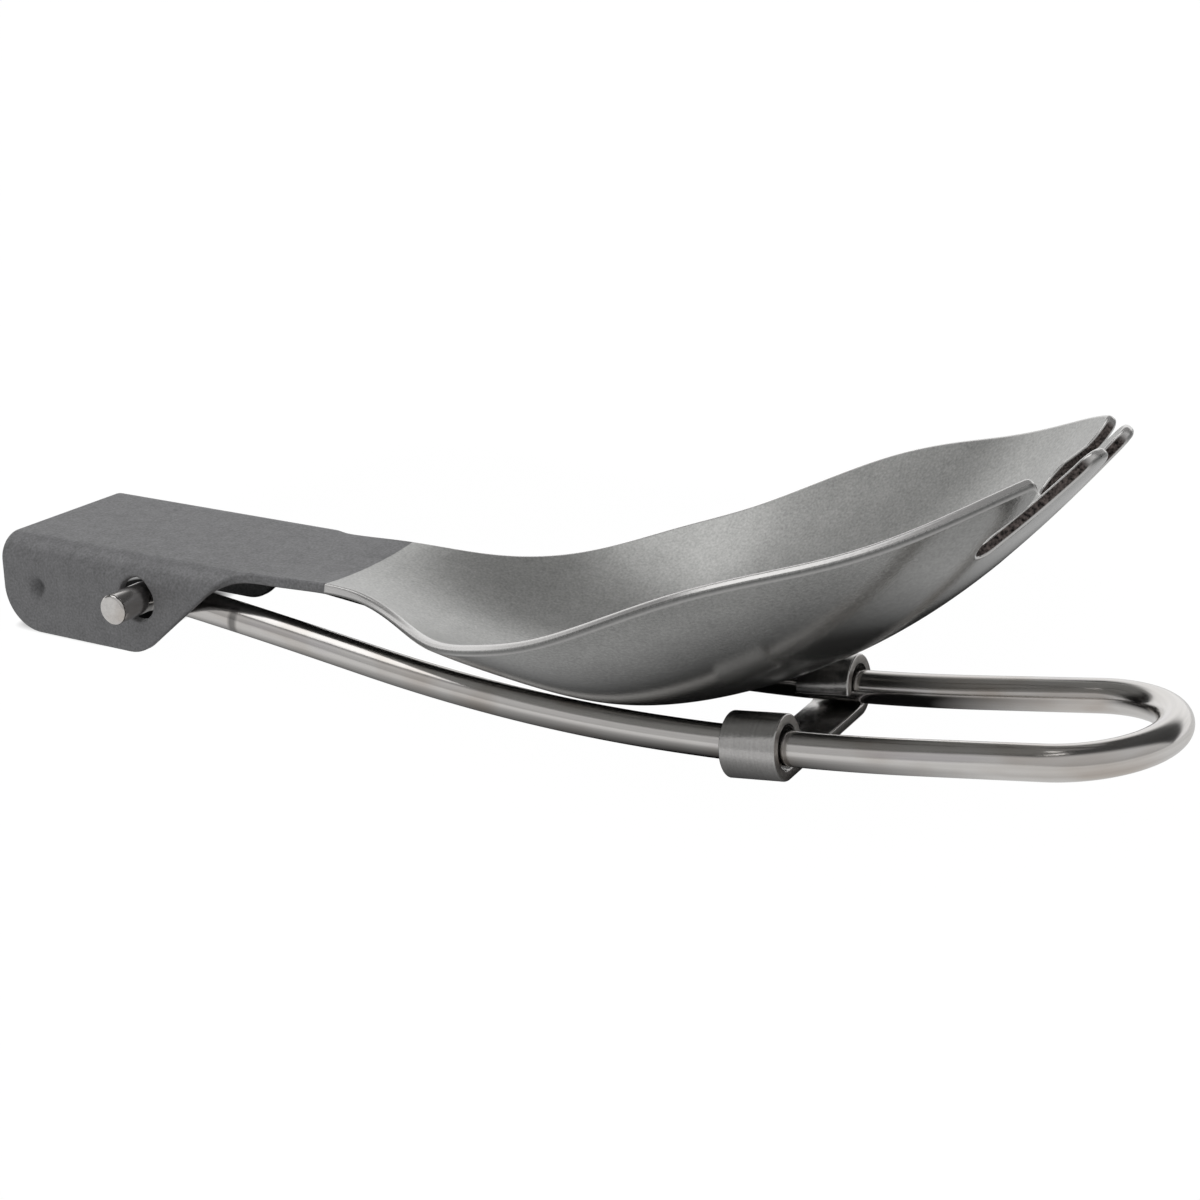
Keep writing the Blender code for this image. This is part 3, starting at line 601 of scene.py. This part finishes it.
def triangles(plan, segments):
    """Delaunay triangles of the points, kept inside the outline, as rows of point numbers."""
    found = delaunay_2d_cdt([Vector(point) for point in (plan / MM).tolist()],
                            segments.tolist(), [], 1, TRIANGLE_SLACK)
    source = np.array([given[0] for given in found[3]])
    return source[np.array(found[2])]


def leg_line(run):
    """Along, height and heading of a leg's centreline: straight, a long arc, straight."""
    bend_run = HEAD_REACH + LOOP_PAST_TINES - LEG_STRAIGHT - LOOP_STRAIGHT - LOOP_RADIUS
    turn = np.clip((run - LEG_STRAIGHT) / LONG_BEND_RADIUS, 0.0, bend_run / LONG_BEND_RADIUS)
    past = np.maximum(run - LEG_STRAIGHT - bend_run, 0.0)
    along = np.minimum(run, LEG_STRAIGHT) + LONG_BEND_RADIUS * np.sin(turn) + past * np.cos(turn)
    height = LONG_BEND_RADIUS * (1 - np.cos(turn)) + past * np.sin(turn)
    return along, height, turn


def wire_path(sizes):
    """Centreline of the far half of the wire, with its heading, from the pin to the crown.

    Straight pin, quarter circle, a leg that draws apart from the other one, quarter circle.
    """
    at_pivot = CHANNEL_WIDTH / 2 - sizes.sheet - LEG_GAP - sizes.wire / 2
    pin = np.linspace(CHANNEL_WIDTH / 2 + PIN_PROUD, at_pivot + PIN_BEND, PIN_POINTS)
    pin = np.stack([0 * pin, pin, 0 * pin], -1)
    turn = quarter_turn(PIN_BEND_POINTS)[1:]
    bend = np.stack([PIN_BEND * (1 - np.cos(turn)), at_pivot + PIN_BEND * (1 - np.sin(turn)),
                     0 * turn], -1)
    run = np.linspace(PIN_BEND, HEAD_REACH + LOOP_PAST_TINES - LOOP_RADIUS, LEG_POINTS)[1:]
    along, height, heading = leg_line(run)
    across = at_pivot + (LOOP_RADIUS - at_pivot) * smooth_step(along, SPREAD_START, SPREAD_END)
    leg = np.stack([along, across, height], -1)
    turn = quarter_turn(CROWN_POINTS)[1:]
    reach = LOOP_RADIUS * np.sin(turn)
    crown = np.stack([along[-1] + reach * np.cos(heading[-1]), LOOP_RADIUS * np.cos(turn),
                      height[-1] + reach * np.sin(heading[-1])], -1)
    headings = np.concatenate([np.zeros(len(pin) + len(bend)), heading,
                               np.full(len(crown), heading[-1])])
    return np.concatenate([pin, bend, leg, crown]), headings - FALL


def make_wire(sizes):
    """Wire handle: a circle carried along the centreline, its ends rounded over and closed."""
    far, heading = wire_path(sizes)
    far = turned(far, FALL)
    path = np.concatenate([far, far[-2::-1] * [1.0, -1.0, 1.0]]) + PIVOT
    heading = np.concatenate([heading, heading[-2::-1]])
    tangent = unit(np.gradient(path, axis=0))

    turn = quarter_turn(WIRE_EDGE_POINTS)
    over = sizes.wire / 2 - sizes.wire_edge * (1 - np.sin(turn))
    over = np.append(np.linspace(0.0, over[0], WIRE_END_POINTS), over[1:])
    back = np.append(np.zeros(WIRE_END_POINTS), sizes.wire_edge * (1 - np.cos(turn))[1:])
    first = path[0] + tangent[0] * back[:, None]
    last = path[-1] - tangent[-1] * back[::-1, None]
    radius = np.concatenate([over, np.full(len(path) - 2, sizes.wire / 2), over[::-1]])
    path = np.concatenate([first, path[1:-1], last])
    heading, tangent = (ends_repeated(rows, len(back)) for rows in (heading, tangent))
    run = run_along(path)

    up = np.stack([-np.sin(heading), 0 * heading, np.cos(heading)], -1)
    beside = np.cross(tangent, up)
    cos, sin = circle(full_turn(WIRE_SIDES)).T
    ring = cos[:, None] * up[:, None] + sin[:, None] * beside[:, None]
    radius = radius[:, None]
    piece = add_piece("handle_wire", *closed_tube(path[:, None] + radius[..., None] * ring))
    grain = np.stack(np.broadcast_arrays(run[:, None], radius * cos, radius * sin), -1)
    add_attribute(piece, "grain", tube_values(grain))
    nick = np.exp(-((run[-1] - run - NICK_RUN) / NICK_SIZE) ** 2)[:, None]
    add_attribute(piece, "nick", tube_values(nick * np.clip(-ring[..., 1], 0.0, 1.0)))
    return piece


def ends_repeated(rows, count):
    """Rows whose first and last one are each there count times."""
    return np.concatenate([np.repeat(rows[:1], count, 0), rows[1:-1],
                           np.repeat(rows[-1:], count, 0)])


def closed_tube(rows):
    """Points and faces of a tube through rows of rings, whose first and last rows are poles."""
    count, sides = rows.shape[0] - 2, rows.shape[1]
    index = np.arange(count * sides).reshape(count, sides)
    beside = np.roll(index, -1, 1)
    quads = np.stack([index[:-1], beside[:-1], beside[1:], index[1:]], -1).reshape(-1, 4)
    first = np.stack([beside[0], index[0], np.full(sides, count * sides)], -1)
    last = np.stack([index[-1], beside[-1], np.full(sides, count * sides + 1)], -1)
    return tube_values(rows), quads.tolist() + first.tolist() + last.tolist()


def tube_values(rows):
    """Values on rows of rings in the order of a closed tube's points."""
    return np.concatenate([rows[1:-1].reshape(-1, *rows.shape[2:]), rows[:1, 0], rows[-1:, 0]])


def strip_path(sizes):
    """Section line of the lock strip: over the far leg, under both, and over the near leg."""
    radius = sizes.wire / 2 + STRIP_SLACK + sizes.strip / 2
    out = circle(np.linspace(CURL_SWEEP - math.pi / 2, -math.pi / 2, CURL_POINTS))
    curl = out * radius + [LOOP_RADIUS, 0.0]
    across = np.linspace(LOOP_RADIUS, -LOOP_RADIUS, BRIDGE_POINTS)[1:-1]
    bridge = np.stack([across, np.full(len(across), -radius)], -1)
    line = np.concatenate([curl, bridge, curl[::-1] * [-1.0, 1.0]])
    normal = np.concatenate([out, np.tile([0.0, -1.0], (len(across), 1)), out[::-1] * [-1.0, 1.0]])
    return line, normal


def make_strip(sizes):
    """Lock strip: a rounded rectangle carried along the section line, its ends rounded over.

    Near an end the rectangle shrinks by the edge radius, on a quarter circle.
    """
    line, normal = strip_path(sizes)
    edge = sizes.strip_edge
    turn = quarter_turn(STRIP_END_POINTS)
    inset, back = edge * (1 - np.sin(turn)), (edge * (1 - np.cos(turn)))[:, None]
    inset = np.concatenate([inset, np.zeros(len(line) - 2), inset[::-1]])
    start = line[0] + unit(line[1] - line[0]) * back
    end = line[-1] + unit(line[-2] - line[-1]) * back[::-1]
    line = np.concatenate([start, line[1:-1], end])
    normal = ends_repeated(normal, len(turn))

    quarter = circle(quarter_turn(STRIP_CORNER_POINTS))
    out = np.concatenate([quarter, (quarter * [-1.0, 1.0])[::-1], -quarter,
                          (quarter * [1.0, -1.0])[::-1]])
    half = np.array([STRIP_LENGTH, sizes.strip]) / 2 - edge
    centre = np.repeat(half * [(1, 1), (-1, 1), (-1, -1), (1, -1)], len(quarter), 0)
    across = centre + out * (edge - inset)[:, None, None]
    rows = np.concatenate([across[..., :1],
                           line[:, None] + normal[:, None] * across[..., 1:]], -1)
    poles = [np.repeat(np.append(0.0, line[k])[None, None], len(out), 1) for k in (0, -1)]
    rows = np.concatenate([poles[0], rows, poles[1]])

    along, height, _ = leg_line(np.linspace(0.0, HEAD_REACH, LINE_POINTS))
    legs = turned(np.stack([along, 0 * along, height], -1), FALL)
    place = strip_share * HEAD_REACH
    middle = PIVOT + [place, 0.0, np.interp(place, legs[:, 0], legs[:, 2])]
    axes = np.array([SLIDE, (0.0, 1.0, 0.0), (-SLIDE[2], 0.0, SLIDE[0])])
    piece = add_piece("lock_strip", *closed_tube(middle + rows[:, ::-1] @ axes))
    run = run_along(ends_repeated(line, 2))
    grain = np.stack(np.broadcast_arrays(rows[..., 0], run[:, None], 0 * rows[..., 0]), -1)
    add_attribute(piece, "grain", tube_values(grain[:, ::-1]))
    flank = np.broadcast_to(np.abs(out[:, 0]) ** 4, rows.shape[:2])
    add_attribute(piece, "cut", tube_values(flank[:, ::-1]))
    return piece


def math_operator(operation, reflected=False):
    """Operator that adds a Math node on a value and what stands beside it."""
    def operator(value, other):
        return value.nodes.math(operation, *((other, value) if reflected else (value, other)))

    return operator


class Value:
    """A number in a node tree: +, -, *, / and ** on it add Math nodes."""

    def __init__(self, nodes, socket):
        self.nodes = nodes
        self.socket = socket

    __add__ = __radd__ = math_operator("ADD")
    __sub__, __rsub__ = math_operator("SUBTRACT"), math_operator("SUBTRACT", True)
    __mul__ = __rmul__ = math_operator("MULTIPLY")
    __truediv__, __rtruediv__ = math_operator("DIVIDE"), math_operator("DIVIDE", True)
    __pow__ = math_operator("POWER")

    def output(self, name):
        """Another output of the node that this value comes from."""
        return Value(self.nodes, self.socket.node.outputs[name])


class Nodes:
    """Nodes of one material or of the world."""

    def __init__(self, tree):
        self.tree = tree
        tree.nodes.clear()

    def add(self, kind, settings=None, inputs=None, output=0):
        """Add a node, set its settings, then the values or links of its sockets."""
        node = self.tree.nodes.new(kind)
        for name, setting in (settings or {}).items():
            if name == "stops":
                ramp = node.color_ramp.elements
                while len(ramp) < len(setting):
                    ramp.new(0.5)
                for stop, (place, colour) in zip(ramp, setting):
                    stop.position, stop.color = place, colour
            else:
                setattr(node, name, setting)
        for name, value in (inputs or {}).items():
            socket = node.inputs[name]
            if isinstance(value, Value):
                self.tree.links.new(value.socket, socket)
            else:
                socket.default_value = (*value[:3], 1.0) if socket.type == "RGBA" else value
        return Value(self, node.outputs[output]) if len(node.outputs) else node

    def math(self, operation, *values):
        """Math node on one, two or three values."""
        return self.add("ShaderNodeMath", {"operation": operation}, dict(enumerate(values)))

    def clamp(self, value):
        """The value held between 0 and 1."""
        return self.add("ShaderNodeClamp", inputs={"Value": value})

    def noise(self, place, scale, detail=2.0, stretch=(1.0, 1.0, 1.0)):
        """Noise from 0 to 1 with features one over scale of a metre apart."""
        place = self.add("ShaderNodeMapping", inputs={"Vector": place, "Scale": stretch})
        return self.add("ShaderNodeTexNoise",
                        inputs={"Vector": place, "Scale": scale, "Detail": detail})

    def mix(self, factor, first, second):
        """First colour where the factor is 0 and second where it is 1."""
        return self.add("ShaderNodeMix", {"data_type": "RGBA"},
                        {"Factor": factor, 6: first, 7: second}, output=2)

    def scaled(self, colour, factor):
        """Colour made lighter or darker by a value."""
        return self.add("ShaderNodeVectorMath", {"operation": "SCALE"},
                        {0: colour, "Scale": factor})

    def dot(self, vector, other):
        """Dot product of a direction and a fixed vector."""
        return self.add("ShaderNodeVectorMath", {"operation": "DOT_PRODUCT"},
                        {0: vector, 1: other}, output="Value")

    def attribute(self, name, output="Fac"):
        """Number or vector stored on the piece's points."""
        return self.add("ShaderNodeAttribute", {"attribute_name": name}, output=output)

    def metal(self, colour, roughness, bump, distance, metallic=1.0):
        """Finish the material: metal with a colour, a roughness and a fine relief."""
        normal = self.add("ShaderNodeBump",
                          inputs={"Height": bump, "Strength": 1.0, "Distance": distance})
        shader = self.add("ShaderNodeBsdfPrincipled",
                          inputs={"Base Color": colour, "Roughness": roughness,
                                  "Metallic": metallic, "Normal": normal})
        self.add("ShaderNodeOutputMaterial", inputs={"Surface": shader})


def new_nodes(name):
    """New material and its empty nodes."""
    material = bpy.data.materials.new(name)
    material.use_nodes = True
    return material, Nodes(material.node_tree)


def between(value, start, end):
    """0 below start, 1 above end, straight between."""
    return value.nodes.clamp((value - start) / (end - start))


COAT_WANDER, COAT_FADE = 0.12 * MM, 0.04 * MM  # how ragged and how soft the dark finish's end is


def sheet_material(finish):
    """Sheet: blasted dark channel, satin neck and bowl, speckled cut faces, bright edges.

    The edges are lighter partly as worn metal and partly as a painted highlight; the lower halves
    of the edges, the dimples and the outside of the neck and bowl get painted shade.
    """
    material, nodes = new_nodes("satin_titanium")
    place = nodes.add("ShaderNodeTexCoord", output="Object")
    along = nodes.add("ShaderNodeSeparateXYZ", inputs={"Vector": place})
    wander = (nodes.noise(place, 900.0) - 0.5) * COAT_WANDER
    dark = 1 - between(along + wander, finish.coat_line - COAT_FADE, finish.coat_line + COAT_FADE)
    grain = nodes.noise(place, 4800.0, 3.0)
    mottle = nodes.noise(place, 700.0, 4.0)
    cloud = nodes.noise(place, 110.0, 2.0)
    cut = nodes.attribute("cut")
    slot = nodes.attribute("slot")
    face = between(cut, 0.93, 1.0) * slot
    # Painted shade on the lower half of the edge, away from the slots and the channel
    under = nodes.attribute("under") * (1 - slot) * (1 - dark)
    # Outside of the neck and bowl, painted darker as painted shade
    outside = nodes.attribute("outside") * (1 - dark)
    # Painted shade in the dimples, deeper with their depth
    press = nodes.attribute("press")
    # Lighter edges: partly worn metal, partly a painted highlight, kept off the painted shade
    # below
    worn_and_highlight = nodes.clamp(cut * (1 - face) * 2.2) * (1 - dark) * (1 - under)

    # Painted shade: the outside made a fifth darker
    satin = (0.30 + grain * 0.9 + mottle * 0.25 + cloud * 0.25) * (1 - outside * 0.2)
    satin = nodes.scaled(finish.bowl, satin)
    # Painted shade: the dimples darkened
    blasted = (0.25 + grain * 1.1 + mottle * 0.4) * (1 - press * 0.55)
    blasted = nodes.scaled(finish.channel, blasted)
    cut_metal = nodes.scaled(finish.cut, between(grain, 0.32, 0.72) * 2.6)
    colour = nodes.mix(dark, satin, blasted)
    # Painted highlight, together with worn metal, on the edges
    colour = nodes.mix(worn_and_highlight, colour, finish.worn_and_highlight)
    # Painted shade: the lower half of the edge darkened
    colour = nodes.mix(under * 0.6, colour, finish.under)
    colour = nodes.mix(face, colour, cut_metal)
    roughness = nodes.clamp(0.30 + grain * 0.08 + dark * 0.22 + face * 0.25 - worn_and_highlight * 0.10
                            - outside * 0.17 - press * 0.24)
    relief = grain * (0.5 + dark * 0.8) + mottle * 0.25
    nodes.metal(colour, roughness, relief, 0.012 * MM, metallic=0.7)
    return material


def wire_material(finish):
    """Wire: polished, streaked along its length, tinted brown and violet, with one dark nick."""
    material, nodes = new_nodes("polished_wire")
    grain = nodes.attribute("grain", "Vector")
    streaks = nodes.noise(grain, 2600.0, 4.0, (0.012, 1.0, 1.0))
    fine = nodes.noise(grain, 9000.0, 2.0, (0.04, 1.0, 1.0))
    brown = nodes.noise(grain, 160.0, 2.0, (1.0, 2.0, 2.0))
    violet = nodes.noise(grain, 260.0, 2.0, (0.5, 3.0, 3.0))
    colour = nodes.scaled(finish.wire, 0.80 + streaks * 0.38)
    colour = nodes.mix(between(brown, 0.50, 0.75) * 0.45, colour, finish.brown)
    colour = nodes.mix(between(violet, 0.58, 0.78) * 0.25, colour, finish.violet)
    nick = between(nodes.attribute("nick"), 0.2, 0.9)
    colour = nodes.mix(nick * 0.85, colour, finish.nick)
    roughness = nodes.clamp(0.10 + streaks * 0.10 + fine * 0.05)
    nodes.metal(colour, roughness, streaks * 0.7 + fine * 0.3, 0.006 * MM)
    return material


def strip_material(finish):
    """Strip: brushed round its curls, with speckled flanks and bright edges."""
    material, nodes = new_nodes("brushed_strip")
    place = nodes.add("ShaderNodeTexCoord", output="Object")
    grain = nodes.attribute("grain", "Vector")
    brushed = nodes.noise(grain, 5200.0, 3.0, (1.0, 0.10, 1.0))
    speckle = nodes.noise(place, 5200.0, 3.0)
    flank = between(nodes.attribute("cut"), 0.80, 1.0)
    colour = nodes.scaled(finish.strip, 0.72 + brushed * 0.3 + speckle * 0.3)
    colour = nodes.mix(flank, colour, nodes.scaled(finish.flank, 0.35 + speckle * 1.2))
    roughness = nodes.clamp(0.15 + brushed * 0.14 + flank * 0.18)
    nodes.metal(colour, roughness, brushed * 0.6 + speckle * 0.6, 0.012 * MM)
    return material


def add_finished(scene, make, finish, node):
    """Make a piece, give it its finish and let it stand for its CAD node."""
    piece = make(scene.spork_sizes)
    piece.data.materials.append(finish(scene.spork_finish))
    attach(piece, {"spork_head": "head", "wire_handle": "handle", "lock_slider": "slider"}[node])
    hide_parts(node)


class SPORK_OT_make_head(bpy.types.Operator):
    """Make the stamped head with its bowl, tines, neck and channel"""

    bl_idname = "spork.make_head"
    bl_label = "Make head"

    def execute(self, context):
        add_finished(context.scene, make_head, sheet_material, "spork_head")
        return {"FINISHED"}


class SPORK_OT_make_handle(bpy.types.Operator):
    """Make the bent wire handle with its pivot pins"""

    bl_idname = "spork.make_handle"
    bl_label = "Make handle"

    def execute(self, context):
        add_finished(context.scene, make_wire, wire_material, "wire_handle")
        return {"FINISHED"}


class SPORK_OT_make_strip(bpy.types.Operator):
    """Make the lock strip that slides along the handle"""

    bl_idname = "spork.make_strip"
    bl_label = "Make lock strip"

    def execute(self, context):
        add_finished(context.scene, make_strip, strip_material, "lock_slider")
        return {"FINISHED"}


def rounded_box(along, across, centre, half, power):
    """Superellipse in plan, sizes in mm: 0 at its centre, 1 on its edge, more outside it."""
    along = (along - centre[0] * MM) / (half[0] * MM)
    across = (across - centre[1] * MM) / (half[1] * MM)
    return (along**power + across**power) ** (1 / power)


def make_table(colour):
    """Table that the camera sees as white, but for the dark inside the channel, where it shows its
    paint under a painted shadow as well as the real one.

    The metal sees it as pale grey away from the spork and as a painted shadow right round it, so
    that the undersides stay as dark as in the photo, and it takes soft shadows from the lamp.
    """
    corners = [(-1, -1, 0), (1, -1, 0), (1, 1, 0), (-1, 1, 0)]
    table = add_piece("table", TABLE_HALF * np.array(corners, float), [(0, 1, 2, 3)])
    material, nodes = new_nodes("white_table")
    seen = nodes.add("ShaderNodeLightPath")
    along = nodes.add("ShaderNodeSeparateXYZ",
                      inputs={"Vector": nodes.add("ShaderNodeTexCoord", output="Object")})
    across = along.output("Y")
    # Painted shadow round the spork: the table's paint darkened there, and no white glow for the
    # metal
    away = rounded_box(along, across + along * 0.12, (-12.0, 25.0), (50.0, 37.5), 6.0)
    away = between(away, 0.82, 1.03)
    # Painted shade inside the channel: the camera sees the darkened paint there, over the real
    # shadow
    clear_of_channel_shade = between(rounded_box(along, across, (-44.4, 0.5), (6.45, 8.9), 8.0), 0.8, 1.0)
    shown = nodes.clamp(seen * CAMERA_WHITE * clear_of_channel_shade
                        + seen.output("Is Glossy Ray") * METAL_WHITE * away)
    # Painted shadow: the table's colour darkened round the spork
    colour = nodes.mix(away, nodes.scaled(colour, painted_shadow_share), colour)
    paint = nodes.add("ShaderNodeBsdfDiffuse", inputs={"Color": colour})
    glow = nodes.add("ShaderNodeEmission", inputs={"Color": (1.0, 1.0, 1.0), "Strength": GLOW})
    both = nodes.add("ShaderNodeMixShader", inputs={"Fac": shown, 1: paint, 2: glow})
    nodes.add("ShaderNodeOutputMaterial", inputs={"Surface": both})
    table.data.materials.append(material)


def make_studio(azimuth):
    """World that is white to the camera; the metal sees a white back and a dark ceiling.

    The ceiling is found by the angle of a direction round the line across the camera's side.
    All else is lit by a dome that is lighter the higher it is.
    """
    world = bpy.data.worlds.new("studio")
    bpy.context.scene.world = world
    world.use_nodes = True
    nodes = Nodes(world.node_tree)
    direction = nodes.add("ShaderNodeTexCoord", output="Generated")
    facing = nodes.dot(direction, (math.sin(azimuth), -math.cos(azimuth), 0.0))
    height = nodes.dot(direction, (0.0, 0.0, 1.0))
    stops = [(place, (grey, grey, grey, 1.0)) for place, grey in studio_greys]
    ramp = nodes.add("ShaderNodeValToRGB", {"stops": stops},
                     {"Fac": nodes.math("ARCTAN2", height, facing) / math.pi})
    seen = nodes.add("ShaderNodeLightPath")
    dome = nodes.scaled((1.0, 1.0, 1.0), DOME_LOW + nodes.clamp(height) * DOME_RISE)
    colour = nodes.mix(seen.output("Is Glossy Ray"), dome, ramp)
    colour = nodes.mix(seen, colour, (1.0, 1.0, 1.0))
    background = nodes.add("ShaderNodeBackground", inputs={"Color": colour, "Strength": 1.0})
    nodes.add("ShaderNodeOutputWorld", inputs={"Surface": background})


def add_pointed(name, data, place, direction):
    """New lamp or camera at a place, looking in a direction."""
    item = bpy.data.objects.new(name, data)
    item.location = place
    item.rotation_euler = direction.to_track_quat("-Z", "Y").to_euler()
    bpy.context.scene.collection.objects.link(item)
    return item


def make_lamp(aim):
    """Soft square lamp that points at the spork."""
    data = bpy.data.lights.new("key_lamp", "AREA")
    data.size, data.energy = KEY_SIZE, KEY_POWER
    add_pointed("key_lamp", data, KEY_PLACE, Vector(aim) - Vector(KEY_PLACE))


def make_camera(stage):
    """Camera at its azimuth, elevation and distance from the aim."""
    data = bpy.data.cameras.new("camera")
    data.lens, data.clip_start = stage.lens, CLIP_START
    level = math.cos(stage.elevation)
    back = Vector((math.sin(stage.azimuth) * level, -math.cos(stage.azimuth) * level,
                   math.sin(stage.elevation)))
    place = Vector(stage.aim) + back * stage.distance
    bpy.context.scene.camera = add_pointed("camera", data, place, -back)


class SPORK_OT_make_stage(bpy.types.Operator):
    """Make the table, the light and the camera"""

    bl_idname = "spork.make_stage"
    bl_label = "Make stage"

    def execute(self, context):
        stage = context.scene.spork_stage
        make_table(stage.table)
        make_studio(stage.azimuth)
        make_lamp(stage.aim)
        make_camera(stage)
        context.scene.view_settings.view_transform = "Standard"
        return {"FINISHED"}


class SPORK_PT_panel(bpy.types.Panel):
    """Sizes, finishes and the steps that make the spork"""

    bl_label = "Folding spork"
    bl_idname = "SPORK_PT_panel"
    bl_space_type = "VIEW_3D"
    bl_region_type = "UI"
    bl_category = "Spork"

    def draw(self, context):
        scene = context.scene
        for group in (scene.spork_sizes, scene.spork_finish, scene.spork_stage):
            box = self.layout.box()
            for name in group.__annotations__:
                box.prop(group, name)
        for operator in OPERATORS:
            self.layout.operator(operator.bl_idname)


OPERATORS = (SPORK_OT_make_stage, SPORK_OT_make_head, SPORK_OT_make_handle, SPORK_OT_make_strip)
CLASSES = (SporkSizes, SporkFinish, SporkStage, *OPERATORS, SPORK_PT_panel)


def register():
    for each in CLASSES:
        bpy.utils.register_class(each)
    bpy.types.Scene.spork_sizes = bpy.props.PointerProperty(type=SporkSizes)
    bpy.types.Scene.spork_finish = bpy.props.PointerProperty(type=SporkFinish)
    bpy.types.Scene.spork_stage = bpy.props.PointerProperty(type=SporkStage)


def unregister():
    del bpy.types.Scene.spork_sizes, bpy.types.Scene.spork_finish, bpy.types.Scene.spork_stage
    for each in reversed(CLASSES):
        bpy.utils.unregister_class(each)


def main():
    """Make the whole scene."""
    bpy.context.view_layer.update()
    register()
    bpy.ops.spork.make_stage()
    bpy.ops.spork.make_head()
    bpy.ops.spork.make_handle()
    bpy.ops.spork.make_strip()


if __name__ == "__main__":
    main()
